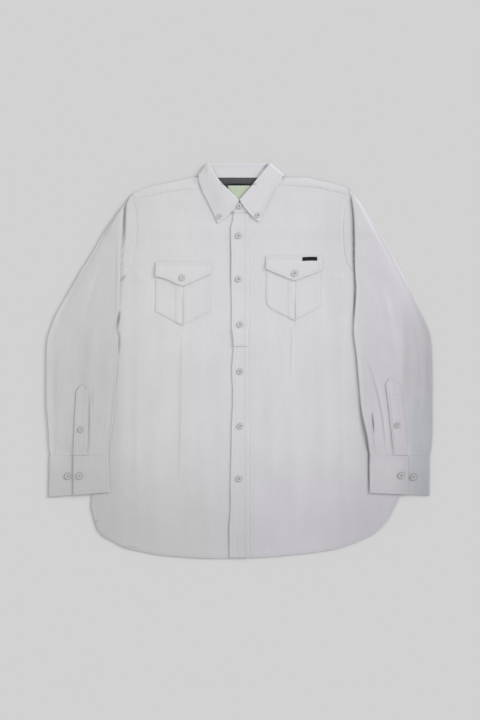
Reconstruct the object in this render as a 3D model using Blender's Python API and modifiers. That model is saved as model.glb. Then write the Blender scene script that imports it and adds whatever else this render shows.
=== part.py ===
"""Long-sleeved shirt with two flap patch pockets, laid flat and face up on a surface.

+X is to the right as the shirt is looked down on, +Y is towards the collar and +Z is up.
Right and left in the names are the wearer's, so the right pieces lie at -X.
All tables and named sizes are in millimetres; MM turns them into metres.
Every piece of cloth is a grid of points through the middle of its wall, given its thickness
by a Solidify modifier. Heights count in plies: ply 0 lies on the surface, ply 1 on it, and so on.
"""

import math

import bmesh
import bpy
from mathutils import Vector
from mathutils.bvhtree import BVHTree

MM = 0.001
WALL = 1.0
GAP = 0.3
PLY = WALL + GAP

# Driving sizes of the garment.
YOKE_SEAM_Y = 282.2
NECK_SEAM_Y = 377.3
CENTRE_LAP = 12.0
UNDERARM_Y = 150.0
SLEEVE_END_Y = -194.5
BACK_TAIL_LENGTH = 0.985
BUTTON_WIDTH = 11.4
BUTTON_HEIGHT = 2.2
BUTTON_RIM = 1.3
BUTTON_DISH = 0.5
BUTTON_BEVEL = 0.5
BUTTON_SIDES = 12
SEAT_SAMPLES = 16
LABEL_SIZE = (45.0, 30.0)
LABEL_MIDDLE_X = -1.0
LABEL_TOP_Y = 361.0
TAB_SIZE = (30.0, 9.0)
TAB_CORNER = (129.0, 213.4)
TAB_SLOPE = 0.02
MITRE_LIMIT = 0.4
MERGE = 0.01

SIDES = {"right": -1, "left": 1}


def table(names, *rows):
    """The columns of a table, by name."""
    return {name: [row[i] for row in rows] for i, name in enumerate(names)}


def read(chart, column, where, key="y"):
    """A column of a table at a place between its rows; past its ends it stays level."""
    pairs = sorted(zip(chart[key], chart[column]))
    if where <= pairs[0][0]:
        return pairs[0][1]
    for (low, first), (high, second) in zip(pairs, pairs[1:]):
        if where <= high:
            return first + (second - first) * (where - low) / (high - low)
    return pairs[-1][1]


# How many plies lie under the front and under the yoke, from the collar down.
FRONT_RESTS = table(
    ("y", "plies"),
    (329.6, 3), (300.8, 2), (272.1, 2), (247.5, 1))
YOKE_RESTS = table(
    ("y", "plies"),
    (355, 1), (345, 0))

# Armhole seams, as distances from the centre line.
ARMHOLE = table(
    ("y", "right_front", "right_back", "left_front", "left_back"),
    (353.0, 219.0, 219.3, 222.0, 222.3),
    (341.0, 218.8, 219.3, 220.5, 221.5),
    (331.0, 216.5, 218.0, 219.0, 220.5),
    (316.0, 213.0, 216.5, 215.5, 218.5),
    (300.8, 211.0, 215.0, 214.0, 217.0),
    (272.1, 209.3, 214.0, 212.0, 216.0),
    (247.5, 211.0, 216.0, 212.0, 217.0),
    (237.0, 212.3, 217.5, 212.7, 218.0),
    (220.0, 215.5, 221.0, 215.0, 221.5),
    (201.0, 220.0, 228.0, 219.5, 229.0),
    (186.0, 227.0, 238.0, 228.0, 240.0),
    (176.0, 234.0, 246.0, 239.0, 248.0),
    (168.0, 243.0, 254.0, 250.0, 256.0),
    (159.0, 263.0, 268.0, 266.0, 269.0),
    (UNDERARM_Y, 285.0, 285.0, 284.0, 284.0))

# Shirt-tail hems, outward from the centre; the last row is the foot of the side seam.
HEM = {
    "right": table(
        ("x", "y"),
        (25, -405.0), (60, -404.5), (92, -404.0), (108, -403.0), (118, -402.0), (128, -401.0),
        (160, -398.0), (204, -390.0), (233, -383.0), (260, -370.0), (277, -360.0),
        (291, -345.5), (297, -328.0), (305, -302.0)),
    "left": table(
        ("x", "y"),
        (30, -403.5), (64, -401.5), (100, -398.0), (125, -395.5), (150, -393.0), (195, -386.0),
        (222, -378.0), (247, -368.5), (278, -353.0), (294, -338.0), (308, -320.0),
        (321, -292.0), (327, -277.0)),
}

# Shoulders: the fold over the top, and the seam where the yoke ends on the front.
SHOULDER = {
    "right": table(
        ("x", "fold_y", "seam_y"),
        (73, 376.0, 353.0), (93, 375.0, 350.5), (120, 369.5, 349.7), (147, 364.0, 346.5),
        (192, 353.0, 335.5), (219, 341.0, 331.0)),
    "left": table(
        ("x", "fold_y", "seam_y"),
        (75, 375.5, 360.0), (92, 375.0, 359.5), (132, 375.0, 357.5), (158, 369.5, 355.0),
        (184, 364.0, 349.5), (205, 358.0, 344.5), (222, 353.0, 340.0)),
}

# Collar round the neck, from its right front end over the back to its left front end.
# seam: on the neckline; fold: the roll line; edge: the free edge of the leaf; crest: height of
# the roll; turn: 0 where the leaf faces up, 180 where it faces down at the back;
# bow: how far the middle of the leaf's section stands off a straight line.
COLLAR = table(
    ("seam_x", "seam_y", "fold_x", "fold_y", "edge_x", "edge_y", "crest", "turn", "bow_x", "bow_y"),
    (-20.0, 307.0, -1.3, 329.0, -45.0, 282.3, 6.1, 0, 6.8, 0.3),
    (-36.0, 319.0, -18.0, 346.5, -55.3, 306.0, 7.6, 0, 0, 0),
    (-44.7, 329.6, -27.5, 358.0, -61.5, 318.5, 8.2, 0, 0, 0),
    (-50.0, 336.0, -34.0, 366.0, -67.0, 329.5, 8.2, 0, 0, 0),
    (-63.0, 354.0, -48.0, 384.0, -78.0, 351.0, 8.2, 0, 0, 0),
    (-69.0, 366.0, -57.5, 396.0, -83.0, 367.0, 8.2, 0, 0, 0),
    (-71.5, 375.6, -61.8, 401.4, -83.4, 376.9, 8.2, 0, 0, 0),
    (-72.35, 377.4, -64.5, 403.6, -84.3, 378.8, 8.2, 45, 0, 0),
    (-72.6, 378.35, -65.3, 404.0, -84.4, 380.2, 8.2, 90, 0, 0),
    (-71.5, 378.2, -64.6, 404.2, -83.3, 380.4, 8.2, 135, 0, 0),
    (-69.0, 377.6, -62.0, 404.2, -81.5, 379.5, 8.2, 180, 0, 0),
    (-48.0, 377.3, -48.0, 404.2, -62.0, 363.5, 8.2, 180, 0, 0),
    (-24.0, 377.3, -24.0, 404.2, -30.0, 362.0, 8.2, 180, 0, 0),
    (0.0, 377.3, 0.0, 404.2, 0.0, 362.0, 8.2, 180, 0, 0),
    (24.0, 377.3, 24.0, 404.2, 30.0, 362.0, 8.2, 180, 0, 0),
    (48.0, 377.3, 46.0, 404.2, 62.0, 363.5, 8.2, 180, 0, 0),
    (71.0, 377.6, 58.5, 404.2, 87.0, 380.5, 8.2, 180, 0, 0),
    (73.4, 378.2, 61.3, 404.2, 89.0, 381.2, 8.2, 135, 0, 0),
    (74.5, 378.2, 62.0, 404.0, 90.6, 380.8, 8.2, 90, 0, 0),
    (74.4, 377.4, 61.3, 403.6, 90.5, 379.2, 8.2, 45, 0, 0),
    (73.6, 376.3, 59.0, 401.5, 89.0, 378.0, 8.2, 0, 0, 0),
    (70.5, 368.5, 55.0, 396.0, 83.5, 369.0, 8.2, 0, 0, 0),
    (66.3, 360.0, 48.0, 387.0, 77.0, 358.5, 8.2, 0, 0, 0),
    (50.5, 336.5, 32.0, 367.0, 63.5, 332.0, 8.2, 0, 0, 0),
    (44.6, 329.6, 25.5, 359.0, 58.0, 320.5, 8.2, 0, 0, 0),
    (36.0, 318.8, 17.0, 348.5, 52.0, 308.0, 8.2, 0, 0, 0),
    (21.0, 306.7, 0.0, 329.8, 41.0, 284.0, 8.2, 0, -4.3, -3.0))

# The stand's two ends: the right one lies on the right front, the left one laps over it.
STAND_END_BELOW = table(
    ("seam_x", "seam_y", "plies", "top_x", "top_y", "top_z"),
    (12.0, 301.3, 0, 12.0, 319.0, 3.4))
STAND_END_ABOVE = table(
    ("seam_x", "seam_y", "plies", "top_x", "top_y", "top_z"),
    (12.5, 302.3, 1, 1.5, 325.2, 7.3),
    (0.0, 302.0, 1, -2.0, 321.5, 6.6),
    (-9.0, 302.3, 1, -8.0, 314.5, 5.7),
    (-13.5, 304.5, 1, -13.0, 309.5, 5.1))

# The collar's roll: half the height of the roll, how much of it the crest takes, how far the
# cloth runs level on either side, how far the stand leans under it and where the stand ends.
COLLAR_ROLL = 0.8
CREST = 0.62
ROLL_DEPTH = 1.0
LEAN = 1.7
STAND_BELOW_FOLD = 5.0
COLLAR_BACK_FOLD = WALL / 2 + COLLAR_ROLL
LEAF_ACROSS = (0.3, 0.65, 1.0)
LEAF_BOW = 4.0

# How the yoke turns over the shoulders. neck x: its inner end; columns: across the back of the
# neck; levels: rows on the back; steps: rows below the fold where the yoke climbs over the collar.
YOKE_NECK_X = {"right": 73.2, "left": 75.0}
YOKE_NECK_COLUMNS = (-68.0, -34.0, 0.0, 34.0, 70.0)
YOKE_LEVELS = (YOKE_SEAM_Y, 300.8, 316.0)
YOKE_STEPS = (9.0, 6.0)
YOKE_LEAST_WIDTH = 20.0
FOLD_BACK = 1.6
FOLD_SHARES = (0.25, 0.75)
FOLD_LIFT = 0.05
LINING_INSET = 2.0

# The fronts' ease below the pockets, across each front; it grows from its top over its run.
FRONT_EASE_TOP = 62.0
FRONT_EASE_RUN = 30.0
FRONT_EASE = {
    "right": table(
        ("x", "rise"),
        (26, 0.0), (60, 0.5), (106, 0.5), (117, 1.7), (128, 0.6), (160, 0.9), (205, 0.5),
        (234, 0.0)),
    "left": table(
        ("x", "rise"),
        (28, 0.0), (64, 0.7), (100, 1.1), (125, 0.8), (150, 0.4), (195, 0.8), (223, 0.0)),
}
TAIL_ROWS = (0.0, 0.5, 1.0)

# Sleeves, as distances from the centre line. outer: the folded outer edge; inner: the folded
# edge that lies over the body; valley: how far the cloth is tucked back under that edge, which
# below the underarm is up to the side seam; tuck: 1 where the tuck is formed;
# dip: how far the top sinks in a crease.
SLEEVE = {
    "right": table(
        ("y", "outer", "inner", "valley", "tuck", "dip"),
        (339.0, 222.5, 222.5, 222.5, 0.0, 0.0),
        (331.0, 228.0, 228.0, 228.0, 0.0, 0.0),
        (323.0, 234.5, 234.5, 234.5, 0.0, 0.0),
        (312.0, 244.0, 235.0, 235.5, 1.0, 0.0),
        (300.8, 253.0, 237.5, 243.5, 1.0, 0.0),
        (286.0, 263.5, 239.7, 251.0, 1.0, 0.0),
        (272.1, 273.0, 241.3, 257.0, 1.0, 0.4),
        (247.5, 288.0, 243.0, 266.0, 1.0, 0.0),
        (237.0, 293.5, 243.5, 270.0, 1.0, 0.0),
        (220.0, 304.0, 243.8, 275.0, 1.0, 0.3),
        (201.0, 315.5, 244.0, 279.5, 1.0, 0.0),
        (186.0, 325.5, 244.4, 282.0, 1.0, 0.0),
        (176.0, 331.0, 244.7, 283.5, 1.0, 0.2),
        (168.0, 335.5, 245.0, 284.6, 1.0, 0.0),
        (159.0, 341.0, 245.4, 286.2, 1.0, 0.0),
        (UNDERARM_Y, 346.0, 246.0, 287.2, 1.0, 0.0),
        (120.0, 363.0, 248.0, 0, 1.0, 0.3),
        (93.0, 378.0, 249.0, 0, 1.0, 0.0),
        (78.0, 384.0, 250.0, 0, 1.0, 0.1),
        (61.0, 390.0, 255.0, 0, 1.0, 0.6),
        (45.0, 394.5, 250.5, 0, 1.0, 0.1),
        (20.0, 396.5, 250.5, 0, 1.0, 0.0),
        (-40.0, 397.0, 253.0, 0, 1.0, 0.0),
        (-80.0, 397.0, 255.0, 0, 1.0, 0.0),
        (-110.0, 395.5, 258.5, 0, 1.0, 0.0),
        (-145.0, 392.5, 263.3, 0, 1.0, 0.0),
        (-177.0, 391.0, 267.0, 0, 1.0, 0.0),
        (SLEEVE_END_Y, 388.5, 268.5, 0, 1.0, 0.4)),
    "left": table(
        ("y", "outer", "inner", "valley", "tuck", "dip"),
        (349.0, 224.8, 224.8, 224.8, 0.0, 0.0),
        (341.0, 231.5, 231.5, 231.5, 0.0, 0.0),
        (331.0, 242.0, 229.0, 229.5, 1.0, 0.0),
        (316.0, 253.0, 231.5, 238.5, 1.0, 0.0),
        (300.8, 263.0, 233.0, 245.0, 1.0, 0.0),
        (286.0, 272.0, 233.3, 250.0, 1.0, 0.3),
        (272.1, 280.5, 233.8, 255.0, 1.0, 0.0),
        (247.5, 295.5, 234.0, 263.5, 1.0, 0.0),
        (237.0, 302.0, 234.0, 267.5, 1.0, 0.3),
        (220.0, 311.5, 234.0, 272.5, 1.0, 0.0),
        (201.0, 321.5, 235.0, 277.5, 1.0, 0.0),
        (186.0, 329.5, 236.0, 280.5, 1.0, 0.3),
        (176.0, 335.0, 236.7, 282.2, 1.0, 0.0),
        (168.0, 339.5, 237.4, 283.3, 1.0, 0.0),
        (159.0, 344.5, 238.3, 285.2, 1.0, 0.0),
        (UNDERARM_Y, 349.5, 239.0, 286.2, 1.0, 0.0),
        (120.0, 363.0, 237.3, 0, 1.0, 0.4),
        (93.0, 376.0, 234.6, 0, 1.0, 0.0),
        (61.0, 389.5, 233.3, 0, 1.0, 0.0),
        (45.0, 393.5, 234.6, 0, 1.0, 0.4),
        (20.0, 396.0, 238.0, 0, 1.0, 0.0),
        (-40.0, 397.0, 243.3, 0, 1.0, 0.0),
        (-80.0, 397.0, 246.8, 0, 1.0, 0.0),
        (-110.0, 397.0, 249.5, 0, 1.0, 0.0),
        (-145.0, 396.5, 255.0, 0, 1.0, 0.0),
        (-177.0, 394.5, 262.2, 0, 1.0, 0.0),
        (SLEEVE_END_Y, 391.0, 266.5, 0, 1.0, 0.4)),
}
# Where the sleeve's top has its columns, from the inner edge to the outer one, and how much of
# the sleeve's fullness and of its pleats' height each column has.
SLEEVE_TOP = table(
    ("across", "fullness", "pleat"),
    (0.06, 0.5, 0), (0.11, 0.8, 1), (0.125, 0.8, 0), (0.20, 1.0, 0), (0.29, 1.0, 1),
    (0.305, 1.0, 0), (0.66, 1.0, 0), (0.82, 0.8, 0), (0.93, 0.2, 0))
# Two pleats above the left cuff, as their height down the sleeve.
SLEEVE_PLEATS = {
    "right": table(("y", "rise"), (SLEEVE_END_Y, 0.0)),
    "left": table(
        ("y", "rise"),
        (-80.0, 0.0), (-110.0, 0.5), (-145.0, 0.8), (-177.0, 1.0), (SLEEVE_END_Y, 1.0)),
}
SLEEVE_FULLNESS = 0.6
FULL_WIDTH = 30.0
OUTER_EDGE_HEIGHT = 3.2
OUTER_FOLD_TOP = 1.8
OUTER_FOLD_UNDER = 1.2
SLEEVE_START_DROP = 0.4
FOLD_FOOT = WALL / 2 + 0.12
RISER_CLEAR = WALL / 2 + 0.7

# Cuffs: the folded edges, the free end that shows, the end hidden under it, the lower corners.
CUFF = table(
    ("side", "inner_top", "inner_foot", "outer_top", "outer_foot", "lap", "hidden",
     "foot_y_inner", "foot_y_outer"),
    ("right", 269.0, 266.0, 390.0, 392.3, 343.0, 314.0, -269.0, -279.0),
    ("left", 264.5, 266.0, 391.0, 390.0, 344.6, 331.5, -270.5, -275.5))
CUFF_TOP_Y = SLEEVE_END_Y - GAP
CUFF_ROWS = (0.0, 0.22, 0.6, 1.0)
CUFF_LAP_HEIGHTS = (3.1, 4.6)
CUFF_FOLD_TOP = 1.5
CUFF_FOLD_UNDER = 1.2
CUFF_INNER_FOLD = 0.7
CUFF_LAP_SHARES = (0.35, 0.7, 1.0)

# Front placket: its free edge, and where the upper piece ends over the lower one.
PLACKET = table(
    ("y", "free", "sewn"),
    (301.6, 12.0, 18.5), (300.8, 12.2, 18.5), (287.0, 13.5, 18.5), (272.1, 18.5, 18.5),
    (247.5, 19.0, 18.5), (145.0, 19.0, 18.5), (66.0, 18.0, 18.0), (51.0, 15.0, 17.5),
    (30.0, 14.5, 17.0), (-60.0, 15.0, 18.0), (-132.0, 17.0, 18.5), (-203.0, 19.0, 19.0),
    (-347.0, 23.0, 19.0), (-404.5, 21.5, 19.0))
PLACKET_STEP_Y = (66.0, 57.0)
PLACKET_UPPER_END_Y = 30.0
PLACKET_LOWER_TOP_Y = 55.0

# Pocket and flap outlines across their width: top of the flap, lower edge of the flap, lower
# edge of the pocket. pleat: 1 on the pleat that stands up from the pocket.
POCKET = {
    "right": table(
        ("x", "flap_top", "flap_foot", "foot", "pleat"),
        (-172.0, 202.0, 173.0, 101.0, 0), (-150.0, 202.0, 168.0, 90.0, 0),
        (-131.6, 202.0, 159.0, 80.0, 0), (-131.0, 202.0, 158.7, 79.7, 1),
        (-116.6, 202.0, 153.2, 72.2, 1), (-116.0, 202.0, 153.0, 72.0, 0),
        (-88.0, 202.0, 165.0, 87.0, 0), (-58.0, 202.0, 179.0, 102.0, 0)),
    "left": table(
        ("x", "flap_top", "flap_foot", "foot", "pleat"),
        (54.5, 213.5, 188.0, 127.0, 0), (57.5, 213.6, 186.8, 114.0, 0),
        (64.0, 213.8, 184.0, 106.5, 0), (99.0, 214.3, 169.5, 89.5, 0),
        (99.6, 214.3, 169.3, 89.2, 1), (112.4, 214.5, 164.3, 82.8, 1),
        (113.0, 214.5, 164.2, 82.5, 0), (140.0, 214.8, 174.0, 97.0, 0),
        (169.0, 215.0, 185.0, 112.0, 0)),
}
POCKET_MOUTH = 14.0
POCKET_PLEAT_TOP = 12.0
POCKET_PLEAT_RISE = 0.8
FLAP_RAMP = (10.7, 13.4)
FLAP_EDGE_LIFT = 0.7

# Strips over the sleeves' openings: rows down the strip, with its two edges.
SLEEVE_PLACKET = {
    "right": table(
        ("y", "inner", "outer"),
        (-50.0, 319.5, 327.0), (-53.0, 314.0, 333.0), (-62.0, 310.0, 338.0),
        (-110.0, 309.0, 338.5), (-177.0, 308.5, 339.0), (-193.0, 308.5, 339.0)),
    "left": table(
        ("y", "inner", "outer"),
        (-35.0, 308.0, 312.0), (-40.0, 303.5, 318.0), (-47.0, 299.5, 326.0),
        (-95.0, 305.5, 334.0), (-145.0, 311.0, 340.0), (-177.0, 314.0, 343.0),
        (-193.0, 315.5, 344.5)),
}

# Buttons: where each is, and the piece that carries it.
BUTTONS = (
    (-0.5, 316.3, "collar_stand"),
    (-2.0, 256.0, "placket_upper"),
    (-2.0, 167.0, "placket_upper"),
    (1.0, 74.0, "placket_upper"),
    (1.0, -22.0, "placket_lower"),
    (1.0, -134.0, "placket_lower"),
    (-1.0, -242.0, "placket_lower"),
    (-41.0, 295.5, "collar_leaf"),
    (38.0, 298.0, "collar_leaf"),
    (-117.0, 170.0, "right_flap"),
    (113.0, 179.0, "left_flap"),
    (-325.0, -141.0, "right_sleeve_placket"),
    (323.0, -132.0, "left_sleeve_placket"),
    (-328.0, -236.0, "right_cuff"),
    (-352.0, -236.5, "right_cuff"),
    (331.0, -235.0, "left_cuff"),
    (356.0, -238.5, "left_cuff"),
)

COLOURS = {
    "cotton": ((0.63, 0.62, 0.64), 0.9),
    "dark_cotton": ((0.09, 0.09, 0.092), 0.9),
    "green_label": ((0.47, 0.55, 0.44), 0.8),
    "black_label": ((0.012, 0.012, 0.015), 0.8),
    "button": ((0.6, 0.6, 0.6), 0.35),
}


# Places and heights.

def middle(plies):
    """Height of the middle of a wall with this many plies under it."""
    return WALL / 2 + PLY * plies


def front_middle(y):
    return middle(read(FRONT_RESTS, "plies", y))


def yoke_middle(y):
    return middle(read(YOKE_RESTS, "plies", y))


def blend(first, second, part):
    return first + (second - first) * part


def between(first, second, part):
    """A point part of the way from one point to another."""
    return tuple(blend(a, b, part) for a, b in zip(first, second))


def offset_line(points, distance):
    """A line of (x, y) points moved to its left by a distance, with mitred corners."""
    moved = []
    for i, point in enumerate(points):
        here = Vector(point)
        before = Vector(points[max(i - 1, 0)])
        after = Vector(points[min(i + 1, len(points) - 1)])
        entering = (here - before if i else after - here).normalized()
        leaving = (after - here if i + 1 < len(points) else entering).normalized()
        normal = (entering + leaving).normalized().orthogonal()
        reach = distance / max(normal.dot(leaving.orthogonal()), MITRE_LIMIT)
        moved.append(tuple(here + normal * reach))
    return moved


def side_seam(side, y):
    """Distance of the side seam from the centre line."""
    foot_x, foot_y = HEM[side]["x"][-1], HEM[side]["y"][-1]
    under = ARMHOLE[side + "_front"][-1]
    part = (y - UNDERARM_Y) / (foot_y - UNDERARM_Y)
    return blend(under, foot_x, max(part, 0))


def body_edge(side, y, face):
    """Distance of the front's or back's outer edge from the centre line."""
    if y < UNDERARM_Y:
        return side_seam(side, y)
    return read(ARMHOLE, side + "_" + face, y)


# Making the pieces.

def material(name, colour, roughness):
    finish = bpy.data.materials.new(name)
    finish.use_nodes = True
    shader = finish.node_tree.nodes["Principled BSDF"]
    shader.inputs["Base Color"].default_value = (*colour, 1)
    shader.inputs["Roughness"].default_value = roughness
    shader.inputs["Metallic"].default_value = 0
    finish.diffuse_color = (*colour, 1)
    return finish


def add_object(name, mesh, cloth):
    piece = bpy.data.objects.new(name, mesh)
    piece.data.materials.append(material(name + "_" + cloth, *COLOURS[cloth]))
    bpy.data.collections["patch_pocket_shirt"].objects.link(piece)
    return piece


def sheet(name, rows, cloth="cotton"):
    """A piece of cloth: a grid of points through its middle, in mm, with a wall round it.

    A row may hold None where the cloth has no point, and points may coincide.
    """
    across = len(rows[0])
    shape = bmesh.new()
    bmesh.ops.create_grid(shape, x_segments=across - 1, y_segments=len(rows) - 1, size=1)
    shape.verts.ensure_lookup_table()
    missing = []
    for i, vertex in enumerate(list(shape.verts)):
        point = rows[i // across][i % across]
        if point is None:
            missing.append(vertex)
        else:
            vertex.co = Vector(point) * MM
    bmesh.ops.delete(shape, geom=missing, context="VERTS")
    bmesh.ops.remove_doubles(shape, verts=shape.verts, dist=MERGE * MM)
    mesh = bpy.data.meshes.new(name)
    shape.to_mesh(mesh)
    shape.free()
    piece = add_object(name, mesh, cloth)
    wall = piece.modifiers.new("wall", "SOLIDIFY")
    wall.thickness = WALL * MM
    wall.offset = 0
    wall.use_even_offset = True
    return piece


def collar_station(i):
    """The points and directions of one section of the collar."""
    row = {name: values[i] for name, values in COLLAR.items()}
    seam = Vector((row["seam_x"], row["seam_y"]))
    fold = Vector((row["fold_x"], row["fold_y"]))
    edge = Vector((row["edge_x"], row["edge_y"]))
    turn = math.radians(row["turn"])
    facing = (1 + math.cos(turn)) / 2
    inward = (seam - fold).normalized()
    outward = (edge - fold).normalized()
    aside = Vector((-outward.y, outward.x)) * (1 if row["fold_x"] > 0 else -1)
    lift = Vector((*(aside * math.sin(turn)), math.cos(turn))) * COLLAR_ROLL
    return {
        "seam": Vector((*seam, blend(middle(2), front_middle(seam.y), facing))),
        "fold": Vector((*fold, blend(COLLAR_BACK_FOLD, row["crest"], facing))),
        "edge": Vector((*edge, blend(middle(0), front_middle(edge.y) + PLY + GAP, facing))),
        "inward": Vector((*inward, 0)),
        "outward": Vector((*outward, 0)),
        "lift": lift,
        "bow": Vector((row["bow_x"], row["bow_y"], 0)),
    }


def leaf_section(i):
    """Section of the collar's leaf: up from the stand, over the roll and down to its edge."""
    at = collar_station(i)
    lift = at["lift"]
    points = [
        at["fold"] + at["inward"] * (STAND_BELOW_FOLD - GAP) - lift * LEAN,
        at["fold"] + at["inward"] * ROLL_DEPTH - lift,
        at["fold"] - lift * CREST,
        at["fold"] + lift * CREST,
        at["fold"] + at["outward"] * ROLL_DEPTH + lift,
    ]
    for part in LEAF_ACROSS:
        point = at["fold"].lerp(at["edge"], part) + lift * (1 - part)
        points.append(point + at["bow"] * LEAF_BOW * part * (1 - part))
    return [tuple(point) for point in points]


def stand_section(i):
    """Section of the stand, from the neckline to just under the leaf's roll."""
    at = collar_station(i)
    top = at["fold"] + at["inward"] * (STAND_BELOW_FOLD + GAP) - at["lift"] * LEAN
    return [tuple(at["seam"].lerp(top, part)) for part in (0, 0.5, 1)]


def stand_end(chart, i):
    """Section of one of the stand's front ends."""
    seam_y = chart["seam_y"][i]
    seam = Vector((chart["seam_x"][i], seam_y, front_middle(seam_y) + PLY * chart["plies"][i]))
    top = Vector((chart["top_x"][i], chart["top_y"][i], chart["top_z"][i]))
    return [tuple(seam.lerp(top, part)) for part in (0, 0.5, 1)]


def make_collar():
    stations = range(len(COLLAR["turn"]))
    sheet("collar_leaf", [leaf_section(i) for i in stations])
    rows = [stand_end(STAND_END_BELOW, 0)]
    rows += [stand_section(i) for i in stations]
    rows += [stand_end(STAND_END_ABOVE, i) for i in range(len(STAND_END_ABOVE["plies"]))]
    sheet("collar_stand", rows)


# Fronts, back and yoke.

def neckline(side):
    """The front's neck edge: the collar's seam line on this side, moved clear of it."""
    sign = SIDES[side]
    points = []
    for x, y, turn in zip(COLLAR["seam_x"], COLLAR["seam_y"], COLLAR["turn"]):
        if turn == 0 and x * sign > 0:
            points.append((x * sign, y))
    points.sort(key=lambda point: -point[1])
    return offset_line(points, GAP)


def columns(side):
    """Where a front's columns stand, from 0 at the centre edge to 1 at the side seam."""
    centre = centre_edge(side)
    reach = HEM[side]["x"][-1] - centre
    return [0.0] + [(x - centre) / reach for x in HEM[side]["x"]]


def centre_edge(side):
    """The centre edge of a front: the right one runs on under the placket."""
    return -CENTRE_LAP if side == "right" else CENTRE_LAP + GAP


def shoulder_row(side):
    """The front's top edge, as (x, y), one point for each of its columns."""
    neck_x, neck_y = shoulder_neck_point(side)
    arm_y = SHOULDER[side]["seam_y"][-1]
    arm_x = read(ARMHOLE, side + "_front", arm_y)
    row = []
    for part in columns(side):
        x = blend(neck_x, arm_x, part)
        row.append((x, read(SHOULDER[side], "seam_y", x, "x")))
    row[0] = (neck_x, neck_y)
    return row


def shoulder_neck_point(side):
    """Where the shoulder seam meets the neckline."""
    seam_y = SHOULDER[side]["seam_y"][0]
    line = neckline(side)
    return min(line, key=lambda point: abs(point[1] - seam_y))


def front_rise(side, x, y):
    """How far the front stands off what is under it: its ease, and one pressed crease."""
    if y > FRONT_EASE_TOP:
        return 0
    grow = min((FRONT_EASE_TOP - y) / FRONT_EASE_RUN, 1)
    return grow * read(FRONT_EASE[side], "rise", x, "x")


def front_rows(side):
    """A front's rows as lists of (x, y), x outward from the centre line."""
    parts = columns(side)
    top = shoulder_row(side)
    neck = [point for point in neckline(side) if point[1] < top[0][1] - 1]
    level = FRONT_RESTS["y"][0]
    rows = [top]
    for neck_x, neck_y in neck:
        if neck_y > level + 1:
            share = (neck_y - level) / (top[0][1] - level)
            arm_x = read(ARMHOLE, side + "_front", blend(level, top[-1][1], share))
            rows.append([(blend(neck_x, arm_x, part), blend(level, edge[1], share))
                         for part, edge in zip(parts, top)])
        else:
            arm_y = level if neck_y > level - 1 else neck_y
            arm_x = read(ARMHOLE, side + "_front", arm_y)
            rows.append([between((neck_x, neck_y), (arm_x, arm_y), part) for part in parts])
    levels = FRONT_RESTS["y"][1:]
    levels += [y for y in ARMHOLE["y"] if y < levels[-1]]
    levels += [FRONT_EASE_TOP, FRONT_EASE_TOP - FRONT_EASE_RUN]
    for y in levels:
        ends = ((centre_edge(side), y), (body_edge(side, y, "front"), y))
        rows.append([between(*ends, part) for part in parts])
    return rows + tail_rows(side, parts)


def tail_rows(side, parts):
    """The rows of a front from the foot of the side seam down to the hem."""
    foot_x, foot_y = HEM[side]["x"][-1], HEM[side]["y"][-1]
    rows = []
    for share in TAIL_ROWS:
        row = []
        for part in parts:
            x = blend(centre_edge(side), foot_x, part)
            row.append((x, blend(foot_y, read(HEM[side], "y", x, "x"), share)))
        rows.append(row)
    return rows


def make_front(side):
    sign = SIDES[side]
    rows = []
    for row in front_rows(side):
        rows.append([(sign * x, y, front_middle(y) + front_rise(side, x, y)) for x, y in row])
    sheet(side + "_front", rows)


def make_back():
    ys = [YOKE_SEAM_Y - GAP] + [y for y in ARMHOLE["y"] if y < YOKE_SEAM_Y]
    halves = {}
    for side, sign in SIDES.items():
        xs = [0.0] + HEM[side]["x"][1::2]
        if xs[-1] != HEM[side]["x"][-1]:
            xs.append(HEM[side]["x"][-1])
        parts = [x / xs[-1] for x in xs]
        half = [[(sign * body_edge(side, y, "back") * part, y) for part in parts] for y in ys]
        foot_y = HEM[side]["y"][-1]
        for share in TAIL_ROWS:
            reach = share * BACK_TAIL_LENGTH
            half.append([
                (sign * x, blend(foot_y, read(HEM[side], "y", x, "x"), reach)) for x in xs])
        half[-len(TAIL_ROWS)][0] = (0.0, HEM["right"]["y"][-1])
        halves[side] = half
    rows = []
    for right, left in zip(halves["right"], halves["left"]):
        line = right[:0:-1] + left
        rows.append([(x, y, middle(0)) for x, y in line])
    sheet("back_panel", rows)


def yoke_columns():
    """The yoke's columns from right to left: their side, share of the shoulder and seam point.

    The first column on each side follows the neck, and the columns between them have no side.
    """
    sides = {}
    for side in SIDES:
        shares = columns(side)
        sides[side] = [(side, share, point) for share, point in zip(shares, shoulder_row(side))]
    neck = [(None, 0, (x, 0)) for x in YOKE_NECK_COLUMNS]
    return sides["right"][::-1] + neck + sides["left"]


def yoke_x(side, share, seam_x, y, face):
    """Distance of a column from the centre line: the neck end stays, the arm end moves."""
    arm_seam = read(ARMHOLE, side + "_front", SHOULDER[side]["seam_y"][-1])
    x = seam_x + share * (read(ARMHOLE, side + "_" + face, y) - arm_seam)
    return max(x, YOKE_NECK_X[side] + share * YOKE_LEAST_WIDTH)


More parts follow.
